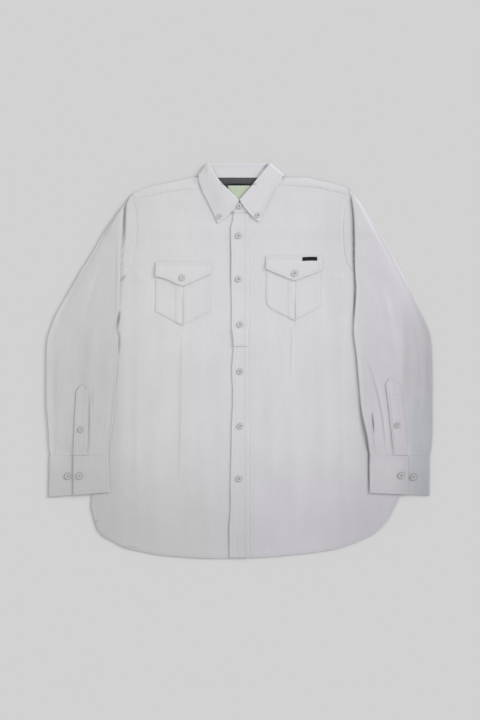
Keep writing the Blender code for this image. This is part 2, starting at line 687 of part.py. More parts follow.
def yoke_column(side, share, seam):
    """One column of the yoke: up the back, over the shoulder fold, down to the front seam."""
    seam_x, seam_y = seam
    if side is None:
        top = NECK_SEAM_Y - GAP + FOLD_BACK
    else:
        near_x = max(seam_x, YOKE_NECK_X[side])
        top = read(SHOULDER[side], "fold_y", near_x, "x") - WALL / 2
    ys = list(YOKE_LEVELS)
    ys += [min(level, top - step) for level, step in zip(YOKE_RESTS["y"][::-1], YOKE_STEPS)]
    ys += [top - FOLD_BACK]
    if side is None:
        beyond = [None] * (len(FOLD_SHARES) + 2)
        return [(seam_x, y, yoke_middle(y)) for y in ys] + beyond
    sign = SIDES[side]
    points = [(sign * yoke_x(side, share, seam_x, y, "back"), y, yoke_middle(y)) for y in ys]
    x, y, z = points[-1]
    low = z + FOLD_LIFT
    points[-1] = (x, y, low)
    high = middle(3)
    turn = [(top, blend(low, high, part)) for part in FOLD_SHARES] + [(top - FOLD_BACK, high)]
    for y, z in turn:
        points.append((sign * yoke_x(side, share, seam_x, y, "front"), y, z))
    points.append((sign * seam_x, seam_y + GAP, high))
    return points


def make_yoke():
    sheet("yoke", [yoke_column(*column) for column in yoke_columns()])


def make_lining():
    """The inner yoke: the same rows one ply higher, only over the back."""
    grid = []
    for i, (side, share, seam) in enumerate(yoke_columns()):
        if side is not None and 0 < share < 1 and i % 2:
            continue
        column = yoke_column(side, share, seam)[:len(YOKE_LEVELS) + len(YOKE_STEPS) + 1]
        if side is not None:
            x, y, z = column[-1]
            column[-1] = (x, y - LINING_INSET, yoke_middle(y - LINING_INSET))
        inset = LINING_INSET * share
        grid.append([(x - math.copysign(inset, x), y, z + PLY) for x, y, z in column])
    sheet("yoke_lining", grid, "dark_cotton")


# Sleeves and cuffs.

def armhole_line(side, face):
    """Points of an armhole seam and, on the back, of the side seam, moved clear of the body."""
    ys = SLEEVE[side]["y"]
    if face == "front":
        ys = [y for y in ys if y >= UNDERARM_Y]
    points = [(body_edge(side, y, face), y) for y in ys]
    return dict(zip(ys, offset_line(points, GAP)))


def sleeve_section(side, i, front_line, back_line):
    """One section of a sleeve, from the front armhole round to the back one."""
    row = {name: values[i] for name, values in SLEEVE[side].items()}
    y = row["y"]
    base = front_middle(y)
    rise = PLY * row["tuck"]
    outer = row["outer"] - WALL / 2
    valley = row["valley"] if y >= UNDERARM_Y else side_seam(side, y) + RISER_CLEAR
    valley_z = base if y >= UNDERARM_Y else base - WALL / 2
    top = [(valley, y, valley_z), (valley, y, base + rise),
           (row["inner"] + WALL / 2, y, base + rise), (row["inner"] + WALL / 2, y, base + 2 * rise)]
    shoulder = outer - OUTER_FOLD_TOP
    roundness = min((shoulder - row["inner"]) / FULL_WIDTH, 1)
    crown = base + 2 * rise + roundness * (SLEEVE_FULLNESS - row["dip"])
    pleats = read(SLEEVE_PLEATS[side], "rise", y)
    for across, fullness, pleat in zip(*SLEEVE_TOP.values()):
        x = blend(row["inner"] + WALL / 2, shoulder, across)
        low = base + 2 * rise if across < 0.5 else OUTER_EDGE_HEIGHT
        top.append((x, y, blend(low, crown, fullness) + pleat * pleats))
    edge_z = OUTER_EDGE_HEIGHT
    if row["tuck"] == 0:
        edge_z = base - SLEEVE_START_DROP
        top = [(shoulder, y, edge_z)] * len(top)
    edge = [(shoulder, y, edge_z), (outer, y, edge_z / 2), (outer - OUTER_FOLD_UNDER, y, FOLD_FOOT)]
    if y > UNDERARM_Y:
        seam_x, seam_y = front_line[y]
        start = (seam_x, seam_y, front_middle(seam_y))
    else:
        start = top[0]
    back_x, back_y = back_line[y]
    end = (back_x, back_y, middle(0))
    points = [start, between(start, top[0], 0.5)] + top + edge
    points += [between(edge[-1], end, 0.5), end]
    sign = SIDES[side]
    return [(sign * px, py, pz) for px, py, pz in points]


def make_sleeve(side):
    front_line = armhole_line(side, "front")
    back_line = armhole_line(side, "back")
    stations = range(len(SLEEVE[side]["y"]))
    sheet(side + "_sleeve", [sleeve_section(side, i, front_line, back_line) for i in stations])


def cuff_section(row, side, share):
    """The columns of a cuff at one share of its height, as points."""
    inner = blend(row["inner_top"], row["inner_foot"], share) + WALL / 2
    outer = blend(row["outer_top"], row["outer_foot"], share) - WALL / 2
    y_near = blend(CUFF_TOP_Y, row["foot_y_inner"], share)
    y_far = blend(CUFF_TOP_Y, row["foot_y_outer"], share)
    riser = side_seam(side, (y_near + y_far) / 2) + WALL / 2 + 2 * GAP
    lower, upper = CUFF_LAP_HEIGHTS
    course = [
        (row["hidden"], lower), (blend(row["hidden"], outer, 0.5), lower),
        (outer - CUFF_FOLD_TOP, lower), (outer, (lower + FOLD_FOOT) / 2),
        (outer - CUFF_FOLD_UNDER, FOLD_FOOT), (blend(outer, riser, 0.5), middle(0)),
        (riser, middle(0) + FOLD_LIFT), (riser, middle(2)), (blend(riser, inner, 0.5), middle(2)),
        (inner + CUFF_INNER_FOLD, middle(2)), (inner, (middle(2) + upper) / 2),
        (inner + CUFF_INNER_FOLD, upper)]
    course += [(blend(inner, row["lap"], part), upper) for part in CUFF_LAP_SHARES]
    sign = SIDES[side]
    points = []
    for x, z in course:
        y = blend(y_near, y_far, (x - inner) / (outer - inner))
        points.append((sign * x, y, z))
    return points


def make_cuff(side):
    i = CUFF["side"].index(side)
    row = {name: values[i] for name, values in CUFF.items()}
    sheet(side + "_cuff", [cuff_section(row, side, share) for share in CUFF_ROWS])


def sleeve_crown(side, y):
    """Height of the flat top of a sleeve."""
    dip = read(SLEEVE[side], "dip", y)
    return front_middle(y) + 2 * PLY + SLEEVE_FULLNESS - dip


def make_sleeve_placket(side):
    chart = SLEEVE_PLACKET[side]
    sign = SIDES[side]
    rows = []
    for y, inner, outer in zip(chart["y"], chart["inner"], chart["outer"]):
        z = sleeve_crown(side, y) + PLY
        rows.append([(sign * blend(inner, outer, part), y, z) for part in (0, 0.5, 1)])
    sheet(side + "_sleeve_placket", rows)


# Plackets, pockets, flaps and labels.

def placket_row(y, lift):
    free = -read(PLACKET, "free", y)
    sewn = read(PLACKET, "sewn", y)
    z = front_middle(y) + PLY + lift
    return [(blend(free, sewn, part), y, z) for part in (0, 0.5, 1)]


def make_plackets():
    """Two strips down the front; the upper one ends over the lower one."""
    ys = [y for y in PLACKET["y"] if y >= PLACKET_STEP_Y[0]]
    rows = [placket_row(y, 0) for y in ys]
    rows += [placket_row(y, PLY) for y in (PLACKET_STEP_Y[1], 51.0, PLACKET_UPPER_END_Y)]
    sheet("placket_upper", rows)
    ys = [PLACKET_LOWER_TOP_Y] + [y for y in PLACKET["y"] if y < PLACKET_LOWER_TOP_Y]
    sheet("placket_lower", [placket_row(y, 0) for y in ys])


def make_pocket(side):
    """A patch on the front with one pleat standing up in it."""
    chart = POCKET[side]
    base = front_middle(0) + PLY
    pleat_top = min(chart["flap_foot"]) - WALL
    shelf = pleat_top - POCKET_PLEAT_TOP
    rows = [[(x, y - POCKET_MOUTH, base) for x, y in zip(chart["x"], chart["flap_top"])]]
    for y, share, rise in ((pleat_top, 0, 0), (shelf, 0, 1), (shelf, 1, 1)):
        row = []
        for x, foot, pleat in zip(chart["x"], chart["foot"], chart["pleat"]):
            row.append((x, blend(y, foot, share), base + pleat * rise * POCKET_PLEAT_RISE))
        rows.append(row)
    sheet(side + "_pocket", rows)


def make_flap(side):
    """A flap sewn down above the pocket, up over its mouth and down to a point."""
    chart = POCKET[side]
    on_front = front_middle(0) + PLY
    on_pocket = on_front + PLY
    start, end = FLAP_RAMP
    course = (
        (0, 0, on_front), (start, 0, on_front), (end, 0, on_pocket),
        (end, 0.5, on_pocket + GAP), (end, 1, on_pocket + FLAP_EDGE_LIFT))
    rows = []
    for depth, share, z in course:
        row = []
        for x, top, foot, pleat in zip(chart["x"], chart["flap_top"], chart["flap_foot"], chart["pleat"]):
            if not pleat:
                row.append((x, blend(top - depth, foot, share), z))
        rows.append(row)
    sheet(side + "_flap", rows)


def make_labels():
    """The bare neck label on the lining, and the bare tab on the left pocket's flap."""
    half, length = LABEL_SIZE[0] / 2, LABEL_SIZE[1]
    rows = []
    for y in (LABEL_TOP_Y, YOKE_RESTS["y"][0], YOKE_RESTS["y"][1], LABEL_TOP_Y - length):
        z = yoke_middle(y) + 2 * PLY
        rows.append([(LABEL_MIDDLE_X - half, y, z), (LABEL_MIDDLE_X + half, y, z)])
    sheet("neck_label", rows, "green_label")
    x, y = TAB_CORNER
    z = front_middle(0) + 2 * PLY
    across, down = TAB_SIZE
    slope = TAB_SLOPE * across
    sheet("flap_label", [
        [(x, y, z), (x + across, y + slope, z)],
        [(x, y - down, z), (x + across, y + slope - down, z)]], "black_label")


# Buttons.

def button_mesh():
    """Half section of a button, from the middle of its face down to the middle of its back."""
    radius = BUTTON_WIDTH / 2
    face = BUTTON_HEIGHT - BUTTON_DISH
    inside = radius - BUTTON_RIM
    outline = [
        (0, face), (inside - BUTTON_BEVEL, face), (inside, BUTTON_HEIGHT),
        (radius - BUTTON_BEVEL, BUTTON_HEIGHT), (radius, BUTTON_HEIGHT - BUTTON_BEVEL),
        (radius, BUTTON_BEVEL), (radius - BUTTON_BEVEL, 0), (0, 0)]
    mesh = bpy.data.meshes.new("button_section")
    points = [(x * MM, 0, z * MM) for x, z in outline]
    mesh.from_pydata(points, [(i, i + 1) for i in range(len(points) - 1)], [])
    return mesh


def seat(carrier, x, y):
    """Height and tilt of a button that rests on a piece of cloth at this place."""
    tree = BVHTree.FromObject(carrier, bpy.context.evaluated_depsgraph_get())
    radius = BUTTON_WIDTH / 2 * MM

    def height(px, py):
        hit = tree.ray_cast(Vector((px, py, 0.1)), Vector((0, 0, -1)))[0]
        return hit.z if hit else None

    x, y = x * MM, y * MM
    angles = [math.tau * i / SEAT_SAMPLES for i in range(SEAT_SAMPLES)]
    ring = [(x + radius * math.cos(angle), y + radius * math.sin(angle)) for angle in angles]
    heights = [height(px, py) for px, py in ring]
    centre = height(x, y)
    heights = [centre if value is None else value for value in heights]
    right, top, left, bottom = heights[::SEAT_SAMPLES // 4]
    slope_x = (right - left) / (2 * radius)
    slope_y = (top - bottom) / (2 * radius)
    over = []
    for value, (px, py) in zip(heights, ring):
        over.append(value - slope_x * (px - x) - slope_y * (py - y))
    base = max(over + [centre]) + GAP * MM
    normal = Vector((-slope_x, -slope_y, 1)).normalized()
    return Vector((x, y, base)), normal


def make_buttons():
    profile = button_mesh()
    for number, (x, y, carrier) in enumerate(BUTTONS, start=1):
        button = add_object(f"button_{number:02d}", profile.copy(), "button")
        place, normal = seat(bpy.data.objects[carrier], x, y)
        button.location = place
        button.rotation_euler = normal.to_track_quat("Z", "Y").to_euler()
        turned = button.modifiers.new("turned", "SCREW")
        turned.axis = "Z"
        turned.steps = BUTTON_SIDES
        turned.render_steps = BUTTON_SIDES
        turned.use_merge_vertices = True
        turned.merge_threshold = MERGE * MM
        turned.use_smooth_shade = False


def clear_scene():
    for item in list(bpy.data.objects):
        bpy.data.objects.remove(item)


def main():
    clear_scene()
    shirt = bpy.data.collections.new("patch_pocket_shirt")
    bpy.context.scene.collection.children.link(shirt)
    make_back()
    make_yoke()
    make_lining()
    make_collar()
    for side in SIDES:
        make_front(side)
        make_sleeve(side)
        make_cuff(side)
        make_sleeve_placket(side)
        make_pocket(side)
        make_flap(side)
    make_plackets()
    make_labels()
    bpy.context.view_layer.update()
    make_buttons()


main()
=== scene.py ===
"""Light grey long-sleeved work shirt with two flap pockets, buttoned and laid flat, face up.

Every piece of cloth is a surface worked out on a grid of two parameters, in millimetres, and then
given a wall with a rounded edge. Right and left in the names are the wearer's, so right is at -X.
Outlines are distances from the centre line; heights count in plies, from 0 on the surface below.
The height of a flat piece is a sum: the plies under it, its creases and the form of its sewn edges.
"""

import math

import bmesh
import bpy
import numpy as np
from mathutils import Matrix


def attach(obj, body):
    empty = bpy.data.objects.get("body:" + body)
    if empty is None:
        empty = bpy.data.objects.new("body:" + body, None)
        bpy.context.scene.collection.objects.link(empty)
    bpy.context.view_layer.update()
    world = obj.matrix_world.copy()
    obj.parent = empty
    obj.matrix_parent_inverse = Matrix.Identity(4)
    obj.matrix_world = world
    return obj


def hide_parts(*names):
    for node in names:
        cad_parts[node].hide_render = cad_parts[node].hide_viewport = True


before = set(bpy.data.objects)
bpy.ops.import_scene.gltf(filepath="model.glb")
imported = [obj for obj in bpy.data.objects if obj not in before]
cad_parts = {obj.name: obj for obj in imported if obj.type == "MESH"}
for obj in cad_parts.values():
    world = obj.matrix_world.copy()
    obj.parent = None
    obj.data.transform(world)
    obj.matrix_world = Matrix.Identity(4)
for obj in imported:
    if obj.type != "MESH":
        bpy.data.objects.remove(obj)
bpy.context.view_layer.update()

MM = 0.001
WALL = 1.0
GAP = 0.3
PLY = WALL + GAP
EDGE_BULGE = 0.35
STEP = 4.0
SIDES = {"right": -1, "left": 1}

# The garment's main lines.
YOKE_SEAM_Y = 282.2
NECK_SEAM_Y = 377.3
CENTRE_LAP = 12.0
CENTRE_TOP_Y = 300.8
UNDERARM_Y = 150.0
SLEEVE_END_Y = -194.5
BACK_TAIL_LENGTH = 0.985

# Distances from an edge where the cloth has its grid lines; two of them carry a row of stitches.
EDGE = np.array([0.0, 0.8, 1.6, 2.4, 3.2, 4.6, 6.4, 8.0, 9.6, 12.0])
NEAR_ROW = 3
FAR_ROW = 6


def table(names, *rows):
    """The columns of a table, by name, as arrays."""
    return dict(zip(names, np.array(rows, float).T))


# How many plies lie under the front and under the yoke, from the collar down.
FRONT_RESTS = table(
    ("y", "plies"),
    (329.6, 3), (300.8, 2), (272.1, 2), (247.5, 1))
YOKE_RESTS = table(
    ("y", "plies"),
    (355, 1), (345, 0))

# Armhole seams, as distances from the centre line. The yoke's seam ends at the width of this row.
YOKE_ROW = 4
ARMHOLE = table(
    ("y", "right_front", "right_back", "left_front", "left_back"),
    (353, 219, 219.3, 222, 222.3), (341, 218.8, 219.3, 220.5, 221.5), (331, 216.5, 218, 219, 220.5),
    (316, 213, 216.5, 215.5, 218.5), (300.8, 211, 215, 214, 217), (272.1, 209.3, 214, 212, 216),
    (247.5, 211, 216, 212, 217), (237, 212.3, 217.5, 212.7, 218), (220, 215.5, 221, 215, 221.5),
    (201, 220, 228, 219.5, 229), (186, 227, 238, 228, 240), (176, 234, 246, 239, 248),
    (168, 243, 254, 250, 256), (159, 263, 268, 266, 269), (UNDERARM_Y, 285, 285, 284, 284))

# Shirt-tail hems, outward from the centre; the last row is the foot of the side seam.
HEM = {
    "right": table(
        ("x", "y"),
        (25, -405), (60, -404.5), (92, -404), (108, -403), (118, -402), (128, -401),
        (160, -398), (204, -390), (233, -383), (260, -370), (277, -360),
        (291, -345.5), (297, -328), (303.2, -302)),
    "left": table(
        ("x", "y"),
        (30, -403.5), (64, -401.5), (100, -398), (125, -395.5), (150, -393), (195, -386),
        (222, -378), (247, -368.5), (278, -353), (294, -338), (308, -320), (322, -292), (329, -277)),
}

# Shoulders: the fold over the top, and the seam where the yoke ends on the front.
SHOULDER = {
    "right": table(
        ("x", "fold_y", "seam_y"),
        (73, 376, 353), (93, 375, 350.5), (120, 369.5, 349.7), (147, 364, 346.5),
        (192, 353, 335.5), (219, 341, 331)),
    "left": table(
        ("x", "fold_y", "seam_y"),
        (75, 375.5, 360), (92, 375, 359.5), (132, 375, 357.5), (158, 369.5, 355),
        (184, 364, 349.5), (205, 358, 344.5), (222, 353, 340)),
}

# Collar round the neck, from its right front end over the back to its left front end.
# seam: on the neckline; fold: the roll line; edge: the free edge of the leaf;
# turn: 0 where the leaf faces up, 180 where it faces down at the back.
COLLAR = table(
    ("seam_x", "seam_y", "fold_x", "fold_y", "edge_x", "edge_y", "turn"),
    (-20, 307, 0.2, 327.4, -43.6, 281.2, 0), (-36, 319, -19.3, 346.5, -55.3, 306, 0),
    (-44.7, 329.6, -31.3, 358, -61.5, 318.5, 0), (-50, 336, -39, 366, -67, 329.5, 0),
    (-63, 354, -52, 384, -78, 351, 0), (-69, 366, -58.5, 396, -83, 367, 0),
    (-71.5, 375.6, -61.8, 401.4, -83.4, 376.9, 0), (-72.35, 377.4, -64.5, 403.6, -84.3, 378.8, 45),
    (-72.6, 378.35, -65.3, 404, -84.4, 380.2, 90), (-71.5, 378.2, -64.6, 404.2, -83.3, 380.4, 135),
    (-69, 377.6, -62, 404.2, -81.5, 379.5, 180), (-48, 373.6, -48, 404.2, -62, 363.5, 180),
    (-24, 373.6, -24, 404.2, -30, 362, 180), (0, 373.6, 0, 404.2, 0, 362, 180),
    (24, 373.6, 24, 404.2, 30, 362, 180), (48, 373.6, 46, 404.2, 62, 363.5, 180),
    (71, 377.6, 58.5, 404.2, 87, 380.5, 180), (73.4, 378.2, 61.3, 404.2, 89, 381.2, 135),
    (74.5, 378.2, 62, 404, 90.6, 380.8, 90), (74.4, 377.4, 61.3, 403.6, 90.5, 379.2, 45),
    (73.6, 376.3, 59, 401.5, 89, 378, 0), (70.5, 368.5, 55, 396, 83.5, 369, 0),
    (66.3, 360, 48, 387, 77, 358.5, 0), (50.5, 336.5, 32, 367, 63.5, 332, 0),
    (44.6, 329.6, 25.5, 359, 58, 320.5, 0), (36, 318.8, 17, 348.5, 52, 308, 0),
    (21, 306.7, 0, 329.8, 41, 283.8, 0))

# The height of the roll, lower at the first two sections, and how far the middle of the first
# and the last section stands off a straight line.
COLLAR_CREST = 8.2
FIRST_CRESTS = (6.1, 7.6)
FIRST_BOW = (5.6, 0.3)
LAST_BOW = (-2.9, -2.2)

# The stand's two ends: the right one lies on the right front, the left one laps over it.
STAND_END_BELOW = table(
    ("seam_x", "seam_y", "plies", "top_x", "top_y", "top_z"),
    (12, 301.3, 0, 12, 319, 3.4))
STAND_END_ABOVE = table(
    ("seam_x", "seam_y", "plies", "top_x", "top_y", "top_z"),
    (12.5, 302.3, 1, 1.5, 325.2, 7.3), (0, 302, 1, -2, 321.5, 6.6), (-9, 302.3, 1, -8, 314.5, 5.7),
    (-13.5, 304.5, 1, -13, 309.5, 5.1))

# The collar's roll: half the height of the roll, how much of it the crest takes, how far the
# cloth runs level on either side, how far the stand leans under it and where the stand ends.
COLLAR_ROLL = 0.8
CREST = 0.62
ROLL_DEPTH = 1
LEAN = 1.7
STAND_BELOW_FOLD = 5
COLLAR_BACK_FOLD = WALL / 2 + COLLAR_ROLL
LEAF_BOW = 4
ROLL_WIDTH = 9.0
COLLAR_STEP = 2.5

# The yoke's inner end at the neck, how far its fold over the shoulder reaches back, and the width
# of its lining for each 1 of its own.
YOKE_NECK_X = {"right": 73.2, "left": 75}
FOLD_BACK = 1.6
LINING_WIDTH = 0.93
# The lining's two upper corners at the armholes, and its edge round the neck.
LINING_CORNERS = ((-217, 337.8), (220, 349.8))
LINING_TOP_Y = NECK_SEAM_Y - 2.4
LINING_NECK = [(-73, 373), (-60, LINING_TOP_Y), (0, LINING_TOP_Y), (60, LINING_TOP_Y), (75, 372.5)]

# Sleeves, as distances from the centre line. outer: the folded outer edge; inner: the folded
# edge that lies over the body; valley: how far the cloth is tucked back under that edge, and 0
# below the underarm, where it is tucked up to the side seam.
SLEEVE = {
    "right": table(
        ("y", "outer", "inner", "valley"),
        (339, 222.5, 222.5, 222.5), (331, 228, 228, 228), (323, 234.5, 233, 233),
        (312, 244, 234.5, 235), (300.8, 253, 237.5, 243.5), (286, 263.5, 239.7, 251),
        (272.1, 273, 241.3, 257), (247.5, 288, 243, 266), (237, 293.5, 243.5, 270),
        (220, 304, 243.8, 275), (201, 315.5, 244, 279.5), (186, 325.5, 244.4, 282),
        (176, 331, 244.7, 283.5), (168, 335.5, 245, 284.6), (159, 341, 245.4, 286.2),
        (UNDERARM_Y, 346, 246, 287.2), (120, 363, 246.6, 0), (93, 378, 246.6, 0), (78, 384, 248.2, 0),
        (61, 390, 254, 0), (45, 394.5, 249.3, 0), (20, 396.5, 248.8, 0), (-40, 397, 253, 0),
        (-80, 397, 254, 0), (-110, 395.5, 256.7, 0), (-145, 392.5, 262, 0), (-177, 391, 267, 0),
        (SLEEVE_END_Y, 388.5, 268.5, 0)),
    "left": table(
        ("y", "outer", "inner", "valley"),
        (349, 224.8, 224.8, 224.8), (341, 231.5, 231.5, 231.5), (331, 242, 229, 229.5),
        (316, 253, 231.5, 238.5), (300.8, 263, 233, 245), (286, 272, 233.3, 250),
        (272.1, 280.5, 233.8, 255), (247.5, 295.5, 234, 263.5), (237, 302, 234, 267.5),
        (220, 311.5, 234, 272.5), (201, 321.5, 235, 277.5), (186, 329.5, 236, 280.5),
        (176, 335, 236.7, 282.2), (168, 339.5, 237.4, 283.3), (159, 344.5, 238.3, 285.2),
        (UNDERARM_Y, 349.5, 239, 286.2), (120, 363, 237.3, 0), (93, 376, 234.6, 0),
        (61, 389.5, 233.3, 0), (45, 393.5, 234.6, 0), (20, 396, 238, 0), (-40, 397, 243.3, 0),
        (-80, 397, 246.8, 0), (-110, 397, 249.5, 0), (-145, 396.5, 255, 0), (-177, 394.5, 262.2, 0),
        (SLEEVE_END_Y, 391, 266.5, 0)),
}
# How much of the sleeve's fullness its top has, from the inner edge at 0 to the outer one at 1.
SLEEVE_TOP = table(
    ("across", "fullness"),
    (0.06, 0.5), (0.11, 0.8), (0.125, 0.8), (0.20, 1), (0.29, 1), (0.305, 1), (0.66, 1), (0.82, 0.8),
    (0.93, 0.2))
# Between these heights the tuck forms.
TUCK_Y = {"right": (323, 312), "left": (341, 331)}
# The fullness, the width from which the sleeve has all of it, and the fold of its outer edge.
FULLNESS = 0.8
FULL_WIDTH = 30
OUTER_EDGE_HEIGHT = 2.5
OUTER_FOLD_TOP = 1.8
# How far its first edge lies below the front, and how far it is clear of the body's side seam.
SLEEVE_START_DROP = 0.4
RISER_CLEAR = WALL / 2 + 0.7

# Cuffs: the folded edges, the free end that shows, the end hidden under it, the lower corners.
CUFF = {
    "right": dict(inner_top=269, inner_foot=266, outer_top=390, outer_foot=392.3, lap=340.2,
                  hidden=314, foot_y_inner=-269, foot_y_outer=-279),
    "left": dict(inner_top=264.5, inner_foot=266, outer_top=391, outer_foot=390, lap=344.6,
                 hidden=331.5, foot_y_inner=-270.5, foot_y_outer=-275.5),
}
CUFF_HEIGHT = 78.0
CUFF_TOP_Y = SLEEVE_END_Y - GAP
CUFF_LAP_HEIGHTS = (3.1, 4.6)

# Front placket: its free edge, to the right of the centre line, and the one sewn down, to the left.
PLACKET = table(
    ("y", "free", "sewn"),
    (301.6, 12, 18.5), (300.8, 12.2, 18.5), (287, 13.5, 18.5), (272.1, 18, 18.5),
    (247.5, 17.8, 18.5), (215, 16.9, 18.5), (180, 17.3, 18.5), (145, 16.7, 18.5),
    (120, 15.7, 18.4), (90, 15.7, 18.3), (77, 16.2, 18.3), (66, 15.8, 18), (51, 13.2, 17.5),
    (30, 11.7, 17), (8, 13.5, 17.3), (-14, 15.3, 17.5), (-34, 15.1, 17.8),
    (-60, 13.4, 18), (-92, 13.6, 18.2), (-116, 15, 18.4), (-137, 16.2, 18.6),
    (-160, 16.2, 18.7), (-203, 17.2, 19), (-260, 18.7, 19), (-290, 18, 19),
    (-305, 18.2, 19), (-325, 20, 19), (-347, 21.5, 19), (-375, 20.6, 19), (-404.5, 20.2, 19))

# Pocket and flap outlines across their width: top of the flap, lower edge of the flap, lower
# edge of the pocket.
POCKET = {
    "right": table(
        ("x", "flap_top", "flap_foot", "foot"),
        (-172, 202, 173, 101), (-150, 202, 168, 90), (-131.6, 202, 159, 80), (-131, 202, 158.7, 79.7),
        (-116.6, 202, 153.2, 72.2), (-116, 202, 153, 72), (-88, 202, 165, 87), (-58, 202, 179, 102)),
    "left": table(
        ("x", "flap_top", "flap_foot", "foot"),
        (54.5, 213.5, 188, 127), (57.5, 213.6, 186.8, 114),
        (64, 213.8, 184, 106.5), (99, 214.3, 169.5, 89.5),
        (99.6, 214.3, 169.3, 89.2), (112.4, 214.5, 164.3, 82.8),
        (113, 214.5, 164.2, 82.5), (140, 214.8, 174, 97), (169, 215, 185, 112)),
}
POCKET_MOUTH = 14
# Where the pocket's pleat lies across it, and how high the pocket stands on the front.
POCKET_PLEAT = {"right": (-131, -116), "left": (99.5, 112.8)}
POCKET_LIFT = 0.95

# Labels: the left and upper edges, the width and the height.
NECK_LABEL = (-23.5, 358.2, 45, 29.4)
FLAP_LABEL = (129, 211.6, 30, 7.4)

# Strips over the sleeves' openings: rows down the strip, with its two edges.
SLEEVE_PLACKET = {
    "right": table(
        ("y", "inner", "outer"),
        (-50, 320.5, 323.5), (-54, 315.8, 328.2), (-62, 309.5, 333.8),
        (-110, 309, 336.8), (-177, 309.5, 339.8), (-193, 312, 340.4)),
    "left": table(
        ("y", "inner", "outer"),
        (-36, 308, 311), (-40, 304.5, 316), (-48, 299.3, 326.5),
        (-95, 305.5, 334), (-145, 311, 340), (-177, 314, 343), (-193, 315.5, 344.5)),
}
# The height of the box sewn across each strip.
PLACKET_BOX_Y = {"right": -80, "left": -71}

# Buttons: where each is, and the piece that carries it.
BUTTONS = (
    (-0.5, 316.3, "collar_stand"), (-2, 256, "placket_upper"), (-2, 167, "placket_upper"),
    (1, 74, "placket_upper"), (1, -22, "placket_lower"), (1, -134, "placket_lower"),
    (-1, -242, "placket_lower"), (-41, 295.5, "collar_leaf"), (38, 298, "collar_leaf"),
    (-117, 170, "right_flap"), (113, 179, "left_flap"), (-325, -141, "right_sleeve_placket"),
    (323, -132, "left_sleeve_placket"), (-328, -236, "right_cuff"), (-352, -236.5, "right_cuff"),
    (331, -235, "left_cuff"), (356, -238.5, "left_cuff"),
)

# Creases: a path of (x, y), the width of the ridge, its height and how far it leans.
BODY_CREASES = (
    (((-117, 63), (-119, -60), (-121, -150), (-122, -245)), 2, 1, 0.5),
    (((108, 80), (107, 20), (104, -45)), 2, 0.6, -0.4),
    (((-226, 190), (-214, 180), (-196, 176)), 5, 1.2, 0.4),
    (((-224, 168), (-206, 166), (-180, 170)), 5, 0.9, 0.4),
    (((222, 180), (206, 172), (185, 172)), 5, 0.9, -0.4),
    (((-160, 40), (-168, -120), (-165, -340)), 16, 0.6, 0),
    (((-205, -40), (-214, -180), (-212, -350)), 14, 0.5, 0.2),
    (((-70, -60), (-72, -200), (-66, -380)), 16, 0.6, 0),
    (((60, 20), (66, -160), (62, -380)), 15, 0.5, 0),
    (((110, -60), (118, -220), (112, -385)), 16, 0.7, 0.2),
    (((165, 60), (172, -120), (170, -370)), 16, 0.6, 0),
    (((210, 100), (214, -120), (222, -350)), 12, 0.5, -0.2),
)
SLEEVE_CREASES = {
    "right": (
        (((252, 62), (262, 60), (276, 50)), 5, -1.2, 0.3),
        (((300, 250), (330, 190), (352, 120)), 10, 0.9, 0.2),
        (((285, 110), (305, 20), (308, -90)), 10, 0.8, 0.2),
        (((350, 90), (362, 0), (360, -120)), 12, 0.9, -0.2),
        (((280, 200), (300, 150), (318, 80)), 6, -0.8, 0.2),
        (((330, -20), (322, -90), (318, -150)), 7, -0.7, 0),
        (((375, 40), (382, -40), (378, -150)), 6, -0.6, 0),
    ),
    "left": (
        (((259, 8), (275, -29), (287, -70), (296, -117), (303, -186)), 3, 0.6, 0.5),
        (((255, 8), (269, -34), (280, -76), (289, -120), (296, -180)), 2.6, -0.4, 0),
        (((271.6, -107), (275, -146), (279, -190)), 2.4, 1.2, 0.7),
        (((300, 250), (334, 180), (356, 110)), 10, 0.9, -0.2),
        (((290, 160), (310, 80), (320, 0)), 9, 0.9, 0.2),
        (((345, 60), (352, -20), (346, -110)), 12, 0.9, 0.2),
        (((332, 110), (337, 20), (330, -90)), 8, -1, 0),
        (((375, 60), (380, -40), (372, -160)), 7, -0.8, 0),
    ),
}
